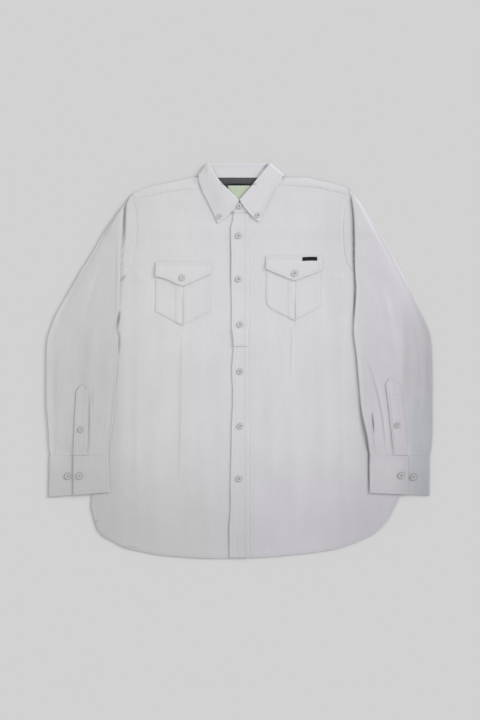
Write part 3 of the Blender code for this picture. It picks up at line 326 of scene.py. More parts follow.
# Painted shade along deep folds, pressed lines, edges and stitched lines, and a painted shadow above the
# neck label; a few wide paths only make a patch darker. Each has a path, the width of its dark line and
# how dark it is; a negative depth paints light against the shadow beside a pocket's left edge.
FOLD_SHADE = (
    (((-220, 344), (-229, 330), (-235.2, 312), (-236.3, 280), (-236.8, 250), (-237.5, 226)), 2, 0.6),
    (((-238, 262), (-240, 214), (-242, 165), (-244, 110)), 1.8, 0.25),
    (((-245, 104), (-248, 86), (-251, 66)), 2.4, 0.6),
    (((-252, 62), (-250, 20), (-250.5, -20), (-256, -65), (-262, -120), (-267.5, -175), (-267.5, -200),
      (-265, -274)), 1.7, 0.1),
    (((217, 362), (224, 347), (229.5, 325), (233.5, 292), (234.7, 247), (234.7, 200), (236.5, 155),
      (234, 90)), 1.8, 0.7),
    (((234, 110), (233, 51), (238, 17), (245, -56), (251, -120)), 1.3, 0.35),
    (((-253, 72), (-248.5, 60), (-246, 48), (-246, 32), (-247.5, 12)), 2.2, 0.4),
    (((-116.8, 140), (-116.6, 58)), 1, 0.3),
    (((112.8, 140), (114, 64)), 1, 0.3),
    (((247, -90), (252, -120), (260, -156), (265, -191), (265, -215)), 2.4, 0.7),
    (((265, -190), (264.5, -230), (264.5, -274)), 1.7, 0.6),
    (((271.2, -104), (273.5, -128), (275.5, -150)), 1.5, 0.85),
    (((274, -140), (277, -170), (280, -196)), 1.5, 0.2),
    (((256, 12), (272, -29), (283, -70), (292, -117), (299, -184)), 1.8, 0.16),
    (((306.5, -60), (312, -120), (317, -194)), 1.4, 0.1),
    (((-299, -46), (-300, -106)), 1.6, 0.12),
    (((-303, -62), (-307.5, -90), (-308, -130), (-308, -165), (-312.5, -196)), 1.5, 0.3),
    (((-249, 262), (-252, 200), (-253, 120), (-257, 72)), 1.8, 0.14),
    (((-117, 66), (-118.5, -60), (-121, -150), (-124, -250)), 1.3, 0.15),
    (((-1, -348), (-1.5, -398)), 13, 0.035),
    (((-66, 385), (-52, 340), (-42, 302)), 13, 0.05),
    (((108, 80), (107, 20), (104, -45)), 1.3, 0.09),
    (((-232, 176), (-239, 168), (-243, 162)), 2.4, 0.35),
    (((-296, -327), (-287, -333)), 1.6, 0.25),
    (((-242, -377.5), (-234, -380), (-218, -382), (-206, -385)), 1.2, 0.16),
    (((-331, -81), (-312, -81)), 0.8, 0.14),
    (((309, -71.5), (329, -71.5)), 0.8, 0.14),
    (((-273, -197), (-271.3, -269)), 0.7, 0.12),
    (((300, -352), (292, -344)), 2, 0.15),
    (((-70, 382), (-68.5, 390), (-64, 398)), 3, 0.12),
    (((-94, 378), (-91, 368), (-90, 358)), 2.4, 0.16),
    (((93, 380), (89, 371), (85, 360)), 2, 0.2),
    (((-17.4, 305.5), (-16.2, 300)), 1.8, 0.5),
    (((-24.5, 300), (-26, 250), (-24, 200)), 4, 0.035),
    (((-40, 361.2), (-25, 361.2), (22, 361.2), (37, 361.2)), 1.7, 1.2),
    (((-18.5, 280), (-18.8, 250), (-18, 215), (-18.4, 180), (-17.8, 145)), 1.5, 0.25),
    (((-19.5, -315), (-21.7, -345), (-21, -385)), 1.5, 0.15),
    (((234.5, 172), (236, 155), (236.3, 138), (235, 110), (234, 75)), 2.2, 0.45),
    (((245, -75), (248, -105)), 1.5, 0.25),
    (((228, 345), (229.5, 310), (231, 270), (231, 240)), 5, 0.1),
    (((-233, 322), (-234.5, 300), (-235.5, 270), (-236, 245)), 2.5, 0.42),
    (((81, 367), (78.4, 362.3), (65.4, 338.5), (49, 305.5), (44, 292)), 1.3, 0.12),
    (((-85, 372), (-82.5, 362), (-74, 345)), 2.5, 0.15),
    (((53, 210), (53, 125)), 1.5, -0.08),
    (((-174.5, 204), (-174.5, 104)), 1.5, -0.08),
    (((48, 392), (58, 402), (62, 404)), 3, 0.3),
)


# Curves and grids.

def smooth(xs, ys, at):
    """A curve through points, cubic between them and never past them.

    The slope at a point is the harmonic mean of the slopes on its two sides, or 0 at a turn.
    """
    order = np.argsort(xs)
    xs, ys = xs[order], ys[order]
    step = np.diff(xs)
    slope = np.diff(ys) / step
    both = slope[:-1] * slope[1:]
    total = slope[:-1] + slope[1:]
    inner = np.where(both > 0, 2 * both / np.where(total == 0, 1, total), 0)
    tangent = np.concatenate([slope[:1], inner, slope[-1:]])
    at = np.clip(at, xs[0], xs[-1])
    i = np.clip(np.searchsorted(xs, at, side="right") - 1, 0, len(xs) - 2)
    t = (at - xs[i]) / step[i]
    low = (1 + 2 * t) * (1 - t) ** 2 * ys[i] + t * (1 - t) ** 2 * step[i] * tangent[i]
    high = t * t * (3 - 2 * t) * ys[i + 1] + t * t * (t - 1) * step[i] * tangent[i + 1]
    return low + high


def read(chart, name, at):
    """A column of a table at some heights on the shirt, as a smooth curve."""
    return smooth(chart["y"], chart[name], np.asarray(at, float))


def straight(chart, name, at):
    """A column of a table at some heights, straight between its rows."""
    order = np.argsort(chart["y"])
    return np.interp(at, chart["y"][order], chart[name][order])


def rise(low, high, at):
    """0 below one place, 1 above another, and a soft S between them."""
    t = np.clip((at - low) / (high - low), 0, 1)
    return t * t * (3 - 2 * t)


def blend(first, second, part):
    return first + (second - first) * part


def unit(vectors):
    """Vectors brought to length 1."""
    return vectors / np.maximum(np.linalg.norm(vectors, axis=-1, keepdims=True), 1e-9)


def run_of(places, extra=0.0):
    """Distances along a line of points from its start, with a little more for every step."""
    steps = np.linalg.norm(np.diff(places, axis=0), axis=1) + extra
    return np.concatenate([[0], np.cumsum(steps)])


def columns_at(at, run, values):
    """Every column of some values, straight between the distances where they are known."""
    return np.stack([np.interp(at, run, column) for column in values.T], -1)


def middle(plies):
    """Height of the middle of a wall with this many plies under it."""
    return WALL / 2 + PLY * plies


def front_middle(y):
    return middle(read(FRONT_RESTS, "plies", y))


def yoke_middle(y):
    return middle(read(YOKE_RESTS, "plies", y))


def points(x, y, z):
    """One array of (x, y, z) from three that may need to be spread to one shape."""
    return np.stack(np.broadcast_arrays(x, y, z), -1).astype(float)


def side_seam(side, y):
    """Distance of the side seam from the centre line."""
    foot_x, foot_y = HEM[side]["x"][-1], HEM[side]["y"][-1]
    part = np.clip((y - UNDERARM_Y) / (foot_y - UNDERARM_Y), 0, None)
    return blend(ARMHOLE[side + "_front"][-1], foot_x, part)


def body_edge(side, y, face):
    """Distance of the outer edge of the front or back from the centre line."""
    return np.where(y < UNDERARM_Y, side_seam(side, y), read(ARMHOLE, side + "_" + face, y))


# Creases and unevenness.

def ridge(x, y, path, width, height, lean=0.0):
    """A soft ridge, or a trough if its height is negative, along a path of (x, y) points.

    Its height falls off as a bell with the distance from the path, wider on one side if it
    leans, and fades to nothing at both ends of the path.
    """
    path = np.array(path, float)
    lengths = np.linalg.norm(np.diff(path, axis=0), axis=1)
    best = np.full(np.shape(x), 1e9)
    side = np.zeros_like(best)
    share = np.zeros_like(best)
    run = 0.0
    for start, end, length in zip(path, path[1:], lengths):
        direction = (end - start) / length
        dx, dy = x - start[0], y - start[1]
        along = np.clip(dx * direction[0] + dy * direction[1], 0, length)
        across = dx * direction[1] - dy * direction[0]
        away = np.hypot(dx - along * direction[0], dy - along * direction[1])
        near = away < best
        best = np.where(near, away, best)
        side = np.where(near, np.sign(across), side)
        share = np.where(near, (run + along) / lengths.sum(), share)
        run += length
    fade = np.sin(math.pi * np.clip(share, 0, 1)) ** 0.7
    return height * fade * np.exp(-(best / (width * (1 + lean * side))) ** 2)


def unevenness(x, y, size, seed):
    """Slow waves of uneven length over the cloth: a sum of sines with seeded turns and phases."""
    chance = np.random.default_rng(seed)
    total = np.zeros(np.broadcast(x, y).shape)
    for _ in range(12):
        length = chance.uniform(28, 95)
        turn = chance.normal(0, 0.45)
        phase = chance.uniform(0, math.tau)
        total += np.sin(math.tau * (x * math.cos(turn) + y * math.sin(turn) * 0.5) / length + phase)
    return total * size / 12 ** 0.5


def creases(chart, x, y):
    total = np.zeros(np.broadcast(x, y).shape)
    for path, width, height, lean in chart:
        total += ridge(x, y, path, width, height, lean)
    return total


def body_relief(x, y):
    """How far the fronts stand off what is under them; calm under the sleeves and the collar."""
    calm = 1 - rise(206, 226, np.abs(x)) * rise(-290, -270, y)
    collar = rise(268, 292, y) * (1 - rise(84, 108, np.abs(x)))
    seam = rise(322, 338, y)
    placket = 1 - 0.6 * (1 - rise(16, 34, np.abs(x)))
    total = creases(BODY_CREASES, x, y) + 0.35 + unevenness(x, y, 0.22, 3)
    return np.maximum(total, -0.1) * calm * (1 - collar) * (1 - seam) * placket


def sleeve_relief(side, x, y):
    """How far a sleeve's top stands off its even form; x is the distance from the centre line."""
    return creases(SLEEVE_CREASES[side], x, y) + unevenness(x, y, 0.24, 5 + len(side))


STITCH_DIP = 0.26
PUCKER = 0.07


def seam_form(distance, along, thick, *rows):
    """Height of a sewn edge: thicker where the cloth is turned in, drawn down along its stitches.

    Between the stitched rows it puckers in small waves along the edge.
    """
    form = thick * (1 - rise(6, 11, distance))
    for row in rows:
        form = form - STITCH_DIP * np.exp(-((distance - EDGE[row]) / 0.9) ** 2)
    pucker = np.sin(along / 1.15 + 1.7 * np.sin(along / 17)) * PUCKER
    return form + pucker * np.exp(-((distance - EDGE[rows[-1]]) / 4.5) ** 2)


def painted_shading(x, y):
    """Painted light and shade for the cloth's colour: paler at the shoulders, darker towards
    the tail and the outer sleeves, where less light falls.

    Deep folds are painted darker along their paths, because hardly any light gets into them.
    """
    out = np.abs(x)
    sleeve = rise(225, 262, out)
    # Painted light and shade: darker downwards, outwards and on the sleeves, most on the lower outer left
    # sleeve; lighter on the outer right sleeve above its cuff.
    shade = 1 - 0.045 * rise(100, -60, y) - 0.16 * rise(-100, -380, y) * (1 - 0.5 * sleeve)
    shade = shade - 0.04 * rise(130, 230, out) - (0.045 + 0.03 * rise(150, 40, y)) * sleeve
    shade = shade - 0.037 * rise(-225, -262, x) + 0.075 * rise(-335, -388, x) * rise(-230, -190, y)
    shade = shade - 0.19 * rise(305, 392, x) * rise(230, 60, y)
    shade = shade - 0.03 * rise(180, 250, x) * rise(-200, -280, y)
    # Painted shade along the paths of the folds, pressed lines and edges.
    for path, width, depth in FOLD_SHADE:
        shade = shade * (1 - ridge(x, y, path, width, depth))
    return shade


def cast(x, y):
    """The tint of the cloth: 0 neutral grey, 0.5 a touch lavender, 0.7 more so, 1 a touch blue.

    It goes from neutral on the wearer's right to lavender on the left, most so at the tail and
    the sleeve, and to blue on the far lower sleeve.
    """
    blue = np.maximum(rise(315, 365, x) * rise(0, -95, y), 0.9 * rise(374, 396, x) * rise(120, 20, y))
    deep = np.maximum(0.2 * rise(20, 70, x) * rise(-190, -300, y), 0.12 * rise(235, 262, x))
    return np.maximum(0.5 * rise(-215, 40, x) + deep, blue)


# Meshes.

def linear(code):
    """A colour from its sRGB hex code, as linear light."""
    values = np.array([int(code[i:i + 2], 16) for i in (1, 3, 5)]) / 255
    return tuple(np.where(values <= 0.04045, values / 12.92, ((values + 0.055) / 1.055) ** 2.4)) + (1.0,)


def make_mesh(name, places, faces, shade=None):
    """A mesh from an array of points in millimetres and an array of faces of one size.

    Its painted shading is that of its place on the shirt, or a given one; the outermost edges, close
    to the board, are painted paler, a painted light against the shadow that falls along them.
    """
    mesh = bpy.data.meshes.new(name)
    mesh.vertices.add(len(places))
    mesh.vertices.foreach_set("co", (places * MM).ravel())
    mesh.loops.add(faces.size)
    mesh.loops.foreach_set("vertex_index", faces.ravel())
    mesh.polygons.add(len(faces))
    mesh.polygons.foreach_set("loop_start", np.arange(0, faces.size, faces.shape[1]))
    mesh.polygons.foreach_set("use_smooth", np.ones(len(faces), bool))
    mesh.update(calc_edges=True)
    if shade is None:
        shade = painted_shading(places[:, 0], places[:, 1])
        # Painted light: points close to the board are painted paler, against the shadow along the outer
        # edges.
        shade = shade * (1 + 0.16 * rise(2.2, 0.9, places[:, 2]))
    mesh.attributes.new("painted_shading", "FLOAT", "POINT").data.foreach_set("value", shade)
    tint = cast(places[:, 0], places[:, 1])
    mesh.attributes.new("cast", "FLOAT", "POINT").data.foreach_set("value", tint)
    return mesh


# The grid of every piece of cloth, the rows of stitches and the threads of the buttons, as made.
GRIDS = {}
STITCHES = []
CROSSES = []


def add_object(name, data):
    made = bpy.data.objects.new(name, data)
    bpy.context.scene.collection.objects.link(made)
    return made


def add_piece(name, mesh, finish, nodes=()):
    """A mesh as a piece of the body "root", which replaces some nodes or adds to the solids."""
    piece = add_object(name, mesh)
    mesh.materials.append(FINISHES[finish])
    if nodes:
        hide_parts(*nodes)
    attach(piece, "root")
    return piece


def normals_of(grid, face_at):
    """Unit normals of a grid, from the cross product of its two directions, up at one place."""
    cross = np.cross(np.gradient(grid, axis=1), np.gradient(grid, axis=0))
    size = np.linalg.norm(cross, axis=2, keepdims=True)
    normal = np.where(size > 1e-9, unit(cross), (0.0, 0.0, 1.0))
    turned = normal[face_at][2] < 0
    return (-normal if turned else normal), turned


def shell(name, grid, face_at=None, wall=WALL):
    """A wall round a grid through its middle, with an edge that bulges out by a third of the wall.

    The grid is moved by half the wall to both sides along its normals, and the two faces are
    joined by a strip whose middle line is moved away from the next grid line inwards.
    """
    rows, cols, _ = grid.shape
    size = rows * cols
    normal, turned = normals_of(grid, face_at or (rows // 2, cols // 2))
    index = np.arange(size).reshape(rows, cols)
    loop = np.concatenate([index[0, :-1], index[:-1, -1], index[-1, :0:-1], index[:0:-1, 0]])
    row, col = np.divmod(loop, cols)
    edge = grid[row, col]
    outward = unit(edge - grid[np.clip(row, 1, rows - 2), np.clip(col, 1, cols - 2)])
    flat = grid.reshape(-1, 3)
    half = normal.reshape(-1, 3) * wall / 2
    places = np.concatenate([flat + half, flat - half, edge + outward * wall * EDGE_BULGE])
    over = np.stack([index[:-1, :-1], index[:-1, 1:], index[1:, 1:], index[1:, :-1]], -1).reshape(-1, 4)
    rim = 2 * size + np.arange(len(loop))
    after, rim_after = np.roll(loop, -1), np.roll(rim, -1)
    faces = [over, over[:, ::-1] + size, np.stack([loop, rim, rim_after, after], 1),
             np.stack([rim, loop + size, after + size, rim_after], 1)]
    if turned:
        faces = [face[:, ::-1] for face in faces]
    return make_mesh(name, places, np.concatenate(faces)), normal


def cloth(name, grid, node=None, face_at=None,
          finish="cotton", wall=WALL):
    """A piece of cloth of the shirt, from the grid through its middle; returns grid and normals."""
    mesh, normal = shell(name + "_cloth", grid, face_at, wall)
    piece = add_piece(name + "_cloth", mesh, finish, [node or name])
    GRIDS[name] = grid
    return grid, normal


# Stitches, as one mesh of small threads laid on the cloth.

STITCH_PITCH = 3.2
STITCH_LENGTH = 2.3
THREAD = 0.42


def sew(piece, row=None, column=None, start=0, end=None):
    """Remember a row of stitches along one grid line of a piece of cloth."""
    across = slice(start, end)
    where = (row, across) if column is None else (across, column)
    line_of, up = (part[where] for part in piece)
    spots = line_of + up * WALL / 2
    spots[:, 2] = np.maximum(spots[:, 2], 0.6 * THREAD)
    STITCHES.append((spots, up))


def along_line(places, up):
    """Points, directions and normals spaced evenly along a line of points."""
    run = run_of(places)
    count = int(run[-1] / STITCH_PITCH)
    at = (np.arange(count) + 0.5) * run[-1] / max(count, 1)
    place, ahead, behind = (columns_at(where, run, places) for where in (at, at + 0.5, at - 0.5))
    direction = unit(ahead - behind)
    normal = columns_at(at, run, up)
    normal -= direction * np.sum(normal * direction, 1, keepdims=True)
    return place, direction, unit(normal)


def grains(place, direction, normal, length, thick):
    """Small closed threads: two square rings and a point at each end, one for every place."""
    side = np.cross(direction, normal)
    turn = np.arange(4) * math.pi / 2
    ring = np.stack([np.zeros(4), np.cos(turn), np.sin(turn)], 1) * thick / 2
    reach = np.array([length * 0.32, 0, 0])
    form = np.concatenate([[[-length / 2, 0, -thick / 3]], ring - reach, ring + reach,
                           [[length / 2, 0, -thick / 3]]])
    axes = np.stack([direction, side, normal], 1)
    places = place[:, None, :] + np.einsum("pk,nkj->npj", form, axes)
    faces = []
    for i in range(4):
        j = (i + 1) % 4
        faces += [(0, 1 + i, 1 + j), (1 + i, 5 + i, 5 + j), (1 + i, 5 + j, 1 + j), (9, 5 + j, 5 + i)]
    faces = np.array(faces)[None] + 10 * np.arange(len(place))[:, None, None]
    return places.reshape(-1, 3), faces.reshape(-1, 3)


def make_stitches():
    """All the remembered rows as one piece."""
    parts = [along_line(*row) for row in STITCHES]
    place, direction, normal = (np.concatenate(column) for column in zip(*parts))
    places, faces = grains(place, direction, normal, STITCH_LENGTH, THREAD)
    add_piece("seam_stitching", make_mesh("seam_stitching", places, faces), "thread")


# Sheets with four edges.

def line(*places):
    """A function that gives the point at a share of the length of a curve through some points."""
    places = np.array(places, float)
    run = run_of(places)
    return lambda share: np.stack([smooth(run / run[-1], column, share) for column in places.T], -1)


def spread(lengths, count):
    """Distances along lines of some lengths: EDGE at both ends, and even steps between.

    On a line too short for both, the EDGE distances shrink to fit.
    """
    lengths = np.atleast_1d(lengths)[:, None]
    fit = np.minimum(1, lengths / (2.2 * EDGE[-1]))
    even = fit * EDGE[-1] + (lengths - 2 * fit * EDGE[-1]) * np.linspace(0, 1, count + 1)
    near = EDGE[None, :-1] * fit
    return np.concatenate([near, even, lengths - near[:, ::-1]], 1)


def patch(left, right, top, bottom, step_across, step_down):
    """A sheet between four edges, with its distances from them.

    A point is the sum of the two straight blends between facing edges, less the straight blend
    of the four corners. Its grid lines run beside every edge at the EDGE distances.
    """
    half = np.array([0.5])
    width = np.linalg.norm(right(half) - left(half), axis=1)
    height = np.linalg.norm(bottom(half) - top(half), axis=1)
    cols = max(int((width[0] - 2 * EDGE[-1]) / step_across), 2)
    rows = max(int((height[0] - 2 * EDGE[-1]) / step_down), 2)
    u, v = spread(width, cols)[0] / width, spread(height, rows)[0] / height
    widths = np.linalg.norm(right(v) - left(v), axis=1)
    heights = np.linalg.norm(bottom(u) - top(u), axis=1)
    across, down = spread(widths, cols), spread(heights, rows).T
    u, v = across / widths[:, None], down / heights[None, :]
    sides = blend(left(v), right(v), u[..., None])
    ends = blend(top(u), bottom(u), v[..., None])
    first, last = (blend(left(at), right(at), u[..., None]) for at in (np.zeros(1), np.ones(1)))
    edges = {"left": across, "right": widths[:, None] - across,
             "top": down, "bottom": heights[None, :] - down}
    return sides + ends - blend(first, last, v[..., None]), edges


def offset_line(places, distance):
    """A line of points moved to its left by a distance, square to its direction."""
    ahead = unit(np.gradient(places, axis=0))
    return places + np.stack([-ahead[:, 1], ahead[:, 0]], 1) * distance


# Fronts, back and yoke.

def neckline(side):
    """The front's neck edge from the shoulder down: the collar's seam line on this side."""
    x, y = COLLAR["seam_x"] * SIDES[side], COLLAR["seam_y"]
    kept = (COLLAR["turn"] == 0) & (x > 0) & (y < SHOULDER[side]["seam_y"][0] + 2)
    places = np.stack([x[kept], y[kept]], 1)
    return offset_line(places[np.argsort(-places[:, 1])], 0.1)


def shoulder_line(side):
    """The shoulder seam on the front, from the neck outwards."""
    neck = neckline(side)[0]
    chart = SHOULDER[side]
    end_y = chart["seam_y"][-1]
    xs = np.append(chart["x"][1:-1], read(ARMHOLE, side + "_front", end_y))
    ys = np.append(chart["seam_y"][1:-1], end_y)
    return np.vstack([neck, np.stack([xs, ys], 1)])


def make_front(side):
    """A front between its neck and centre edge, its armhole and side seam, shoulder and hem."""
    centre = -CENTRE_LAP if side == "right" else CENTRE_LAP + 0.1
    hem, shoulder = HEM[side], shoulder_line(side)
    kept = ARMHOLE["y"] < shoulder[-1][1] - 1
    outer = np.stack([ARMHOLE[side + "_front"][kept], ARMHOLE["y"][kept]], 1)
    foot = (hem["x"][-1], hem["y"][-1])
    half_way = (blend(outer[-1][0], foot[0], 0.5), blend(UNDERARM_Y, foot[1], 0.5))
    xy, edges = patch(
        line(*neckline(side), (centre, CENTRE_TOP_Y), (centre, 100), (centre, hem["y"][0])),
        line(shoulder[-1], *outer, half_way, foot),
        line(*shoulder), line((centre, hem["y"][0]), *zip(hem["x"], hem["y"])), 2, 5)
    x, y = xy[..., 0] * SIDES[side], xy[..., 1]
    foot_near = edges["bottom"]
    form = seam_form(foot_near, x, 0.35, NEAR_ROW, FAR_ROW) - 0.45 * rise(3.6, 0, foot_near)
    form = form + seam_form(edges["top"], x, 0.2, NEAR_ROW)
    form = form + seam_form(edges["right"], y, 0.15, NEAR_ROW)
    z = front_middle(y) + body_relief(x, y) + form
    piece = cloth(side + "_front", points(x, y, z))
    for row in (NEAR_ROW, FAR_ROW):
        sew(piece, row=-1 - row, start=8)
    sew(piece, row=NEAR_ROW, start=4)


def make_back():
    """The back under the fronts, from the yoke seam to a slightly shorter tail."""
    kept = ARMHOLE["y"] < YOKE_SEAM_Y
    edges = []
    for side, sign in SIDES.items():
        hem, arm = HEM[side], ARMHOLE[side + "_back"]
        edges.append(line((arm[YOKE_ROW] * sign, YOKE_SEAM_Y), *zip(arm[kept] * sign, ARMHOLE["y"][kept]),
                          (hem["x"][-1] * sign, hem["y"][-1])))
    right, left = HEM["right"], HEM["left"]
    xs = np.concatenate([-right["x"][::-1], left["x"]])
    ys = np.concatenate([right["y"][::-1], left["y"]])
    ys = blend(np.where(xs < 0, right["y"][-1], left["y"][-1]), ys, BACK_TAIL_LENGTH)
    xy, _ = patch(*edges, line(edges[0](0.0), edges[1](0.0)), line(*zip(xs, ys)), 7, 7)
    cloth("back_panel", points(xy[..., 0], xy[..., 1], middle(0)))


def yoke_grid(side, shares, rows):
    """The yoke over one shoulder: up the back, over the fold and down to the front's seam.

    Each column is a path from the yoke's seam on the back to the front's seam; the fold over the
    shoulder is a half circle between the lowest and the highest ply.
    """
    neck_x = YOKE_NECK_X[side]
    seam = line(*shoulder_line(side))(shares)
    top = smooth(SHOULDER[side]["x"], SHOULDER[side]["fold_y"], np.maximum(seam[:, 0], neck_x))
    turn_y = top - WALL / 2 - FOLD_BACK

    def across(face, y):
        reach = shares * (read(ARMHOLE, side + "_" + face, y) - seam[-1, 0])
        return np.maximum(seam[:, 0] + reach, neck_x + shares * 20)

    back = spread(turn_y - YOKE_SEAM_Y, rows).T + YOKE_SEAM_Y
    columns = [points(across("back", y), y, yoke_middle(y)) for y in back]
    low, high = columns[-1][:, 2], middle(3)
    for turn in np.radians(np.arange(15, 180, 15)):
        y = turn_y + FOLD_BACK * np.sin(turn)
        columns.append(points(across("front", y), y, blend(low, high, (1 - np.cos(turn)) / 2)))
    front = spread(turn_y - seam[:, 1] - 0.1, 3).T
    for fall in front:
        y = turn_y - fall
        x = blend(across("front", y), seam[:, 0], (fall / front[-1]) ** 2)
        form = 0.35 * rise(0, 6, fall) + seam_form(front[-1] - fall, x, 0.3, NEAR_ROW)
        columns.append(points(x, y, high + form + 0.2 * rise(0, 4, fall) * np.sin(x / 19)))
    return np.stack(columns) * (SIDES[side], 1, 1), len(back)


def make_yoke():
    """The yoke in three: over each shoulder, and flat under the collar between them."""
    inner = []
    for side in SIDES:
        shoulder = shoulder_line(side)
        length = np.linalg.norm(shoulder[-1] - shoulder[0])
        grid, back = yoke_grid(side, spread(length, 24)[0] / length, 14)
        piece = cloth("yoke_" + side, grid, "yoke", (-8, 12))
        sew(piece, row=-1 - NEAR_ROW, start=3)
        inner.append(grid[:back, 0])
    grid = blend(inner[0][:, None], inner[1][:, None], np.linspace(0, 1, 16)[None, :, None])
    cloth("yoke_centre", grid, "yoke")


def make_lining():
    """The dark inner yoke, one ply above the yoke and a little smaller."""
    foot, places = [], LINING_NECK
    for side, sign in SIDES.items():
        foot.append(((ARMHOLE[side + "_back"][YOKE_ROW] - 2) * sign, YOKE_SEAM_Y))
        shoulder = list(zip((SHOULDER[side]["x"][1:] - 2) * sign, SHOULDER[side]["fold_y"][1:] - 3.2))
        places = shoulder[::-1] + places if sign < 0 else places + shoulder
    right, left = (line(corner, end) for corner, end in zip(LINING_CORNERS, foot))
    xy, _ = patch(right, left, line(*places), line(*foot), 5, 2)
    x, y = xy[..., 0] * LINING_WIDTH, xy[..., 1]
    z = yoke_middle(y) + PLY + 0.25 + unevenness(x, y, 0.1, 8)
    cloth("yoke_lining", points(x, y, z), finish="dark_cotton")


# Collar.

def refine(net):
    """More sections between those of a net, along smooth curves through its points."""
    run = run_of(net.mean(1), 0.2)
    even = spread(run[-1], int(run[-1] / COLLAR_STEP))[0]
    at = np.unique(np.round(np.concatenate([even, run[1:-1]]), 3))
    at = at[np.concatenate([[True], np.diff(at) > 0.25])]
    made = np.stack([smooth(run, column, at) for column in net.reshape(len(net), -1).T], 1)
    return made.reshape(len(at), *net.shape[1:])


def resample(net, distances):
    """Points along every section of a net, at some distances from its start."""
    return np.stack([columns_at(at, run_of(section), section) for section, at in zip(net, distances)])


def section_lengths(net):
    return np.linalg.norm(np.diff(net, axis=1), axis=2).sum(1)[:, None]


def uprights(low, high):
    """Sections of three points: the lower ends, the middles and the upper ends."""
    return np.stack([low, (low + high) / 2, high], 1)


def soften(net):
    """Cut the corners of every section of a net twice, at a quarter of each stretch, between its ends."""
    for _ in range(2):
        low = 0.75 * net[:, :-1] + 0.25 * net[:, 1:]
        high = 0.25 * net[:, :-1] + 0.75 * net[:, 1:]
        cut = np.stack([low, high], 2).reshape(len(net), -1, net.shape[2])
        net = np.concatenate([net[:, :1], cut, net[:, -1:]], 1)
    return net


def collar_stations():
    """The collar's sections, as arrays: seam, fold, edge, the ways to them, the roll and the bow."""
    seam_x, seam_y, fold_x, fold_y, edge_x, edge_y, turn = COLLAR.values()
    turn = np.radians(turn)
    facing = (1 + np.cos(turn)) / 2
    crest = np.full(len(turn), COLLAR_CREST)
    crest[:2] = FIRST_CRESTS
    seam = points(seam_x, seam_y, blend(middle(2), front_middle(seam_y), facing))
    fold = points(fold_x, fold_y, blend(COLLAR_BACK_FOLD, crest, facing))
    edge = points(edge_x, edge_y, blend(middle(0), front_middle(edge_y) + PLY + GAP, facing))
    inward, outward = (unit((end - fold) * (1, 1, 0)) for end in (seam, edge))
    sign = np.where(fold_x > 0, 1, -1)
    aside = np.stack([-outward[:, 1] * sign, outward[:, 0] * sign, 0 * turn], 1)
    lift = (aside * np.sin(turn)[:, None] + np.cos(turn)[:, None] * (0, 0, 1)) * COLLAR_ROLL
    bow = np.zeros_like(fold)
    bow[0, :2], bow[-1, :2] = FIRST_BOW, LAST_BOW
    return seam, fold, edge, inward, outward, lift, bow


def make_leaf():
    """The leaf: up from the stand, over the roll and down to its edge, with its corners cut."""
    _, fold, edge, inward, outward, lift, bow = collar_stations()
    section = [fold + inward * (STAND_BELOW_FOLD - GAP) - lift * LEAN, fold + inward * ROLL_DEPTH - lift,
               fold - lift * CREST, fold + lift * CREST, fold + outward * ROLL_DEPTH + lift]
    for part in np.linspace(0.15, 1, 8):
        place = blend(fold, edge, part) + lift * (1 - part) * (1 + 0.8 * math.sin(math.pi * part))
        section.append(place + bow * LEAF_BOW * part * (1 - part))
    net = soften(refine(np.stack(section, 1)))
    lengths = section_lengths(net)
    near = np.linspace(0, ROLL_WIDTH, 13) + 0 * lengths
    inside = ROLL_WIDTH + (lengths - ROLL_WIDTH - EDGE[-1]) * np.linspace(0, 1, 14)[1:]
    distances = np.concatenate([near, inside, lengths - EDGE[-2::-1]], 1)
    grid = resample(net, distances)
    run = run_of(grid[:, -4])
    end = np.minimum(run, run[-1] - run)[:, None]
    form = seam_form(lengths - distances, run[:, None], 0.35, FAR_ROW)
    form = form + seam_form(end + 0 * distances, distances, 0.2, FAR_ROW) * rise(6, 14, distances)
    face_at = (30, -8)
    grid = grid + normals_of(grid, face_at)[0] * form[..., None]
    grid[..., 2] = np.maximum(grid[..., 2], WALL / 2 + 0.02)
    piece = cloth("collar_leaf", grid,
                  face_at=face_at)
    sew(piece, column=-1 - FAR_ROW, start=FAR_ROW, end=-FAR_ROW)
    for row in (FAR_ROW, -1 - FAR_ROW):
        sew(piece, row=row, start=14, end=-1 - FAR_ROW)


def make_stand():
    """The stand: from its right end, which lies below, round the neck to the left one on top."""
    seam, fold, _, inward, _, lift, _ = collar_stations()
    top = fold + inward * (STAND_BELOW_FOLD + GAP) - lift * LEAN
    net = refine(np.concatenate([stand_end(STAND_END_BELOW), uprights(seam, top),
                                 stand_end(STAND_END_ABOVE)]))
    lengths = section_lengths(net)
    near = np.minimum(EDGE[:7], lengths * np.linspace(0, 0.42, 7))
    inside = blend(near[:, -1:], lengths - near[:, -1:], np.linspace(0, 1, 6)[1:-1])
    distances = np.concatenate([near, inside, lengths - near[:, ::-1]], 1)
    piece = cloth("collar_stand", resample(net, distances),
                  face_at=(-6, 8))
    for at in (dict(column=2), dict(column=-3), dict(row=-1 - NEAR_ROW)):
        sew(piece, start=2, end=-2, **at)


def stand_end(chart):
    """Sections of one of the stand's front ends."""
    seam_x, seam_y, plies, *top = chart.values()
    return uprights(points(seam_x, seam_y, front_middle(seam_y) + PLY * plies), points(*top))


# Sleeves and cuffs.

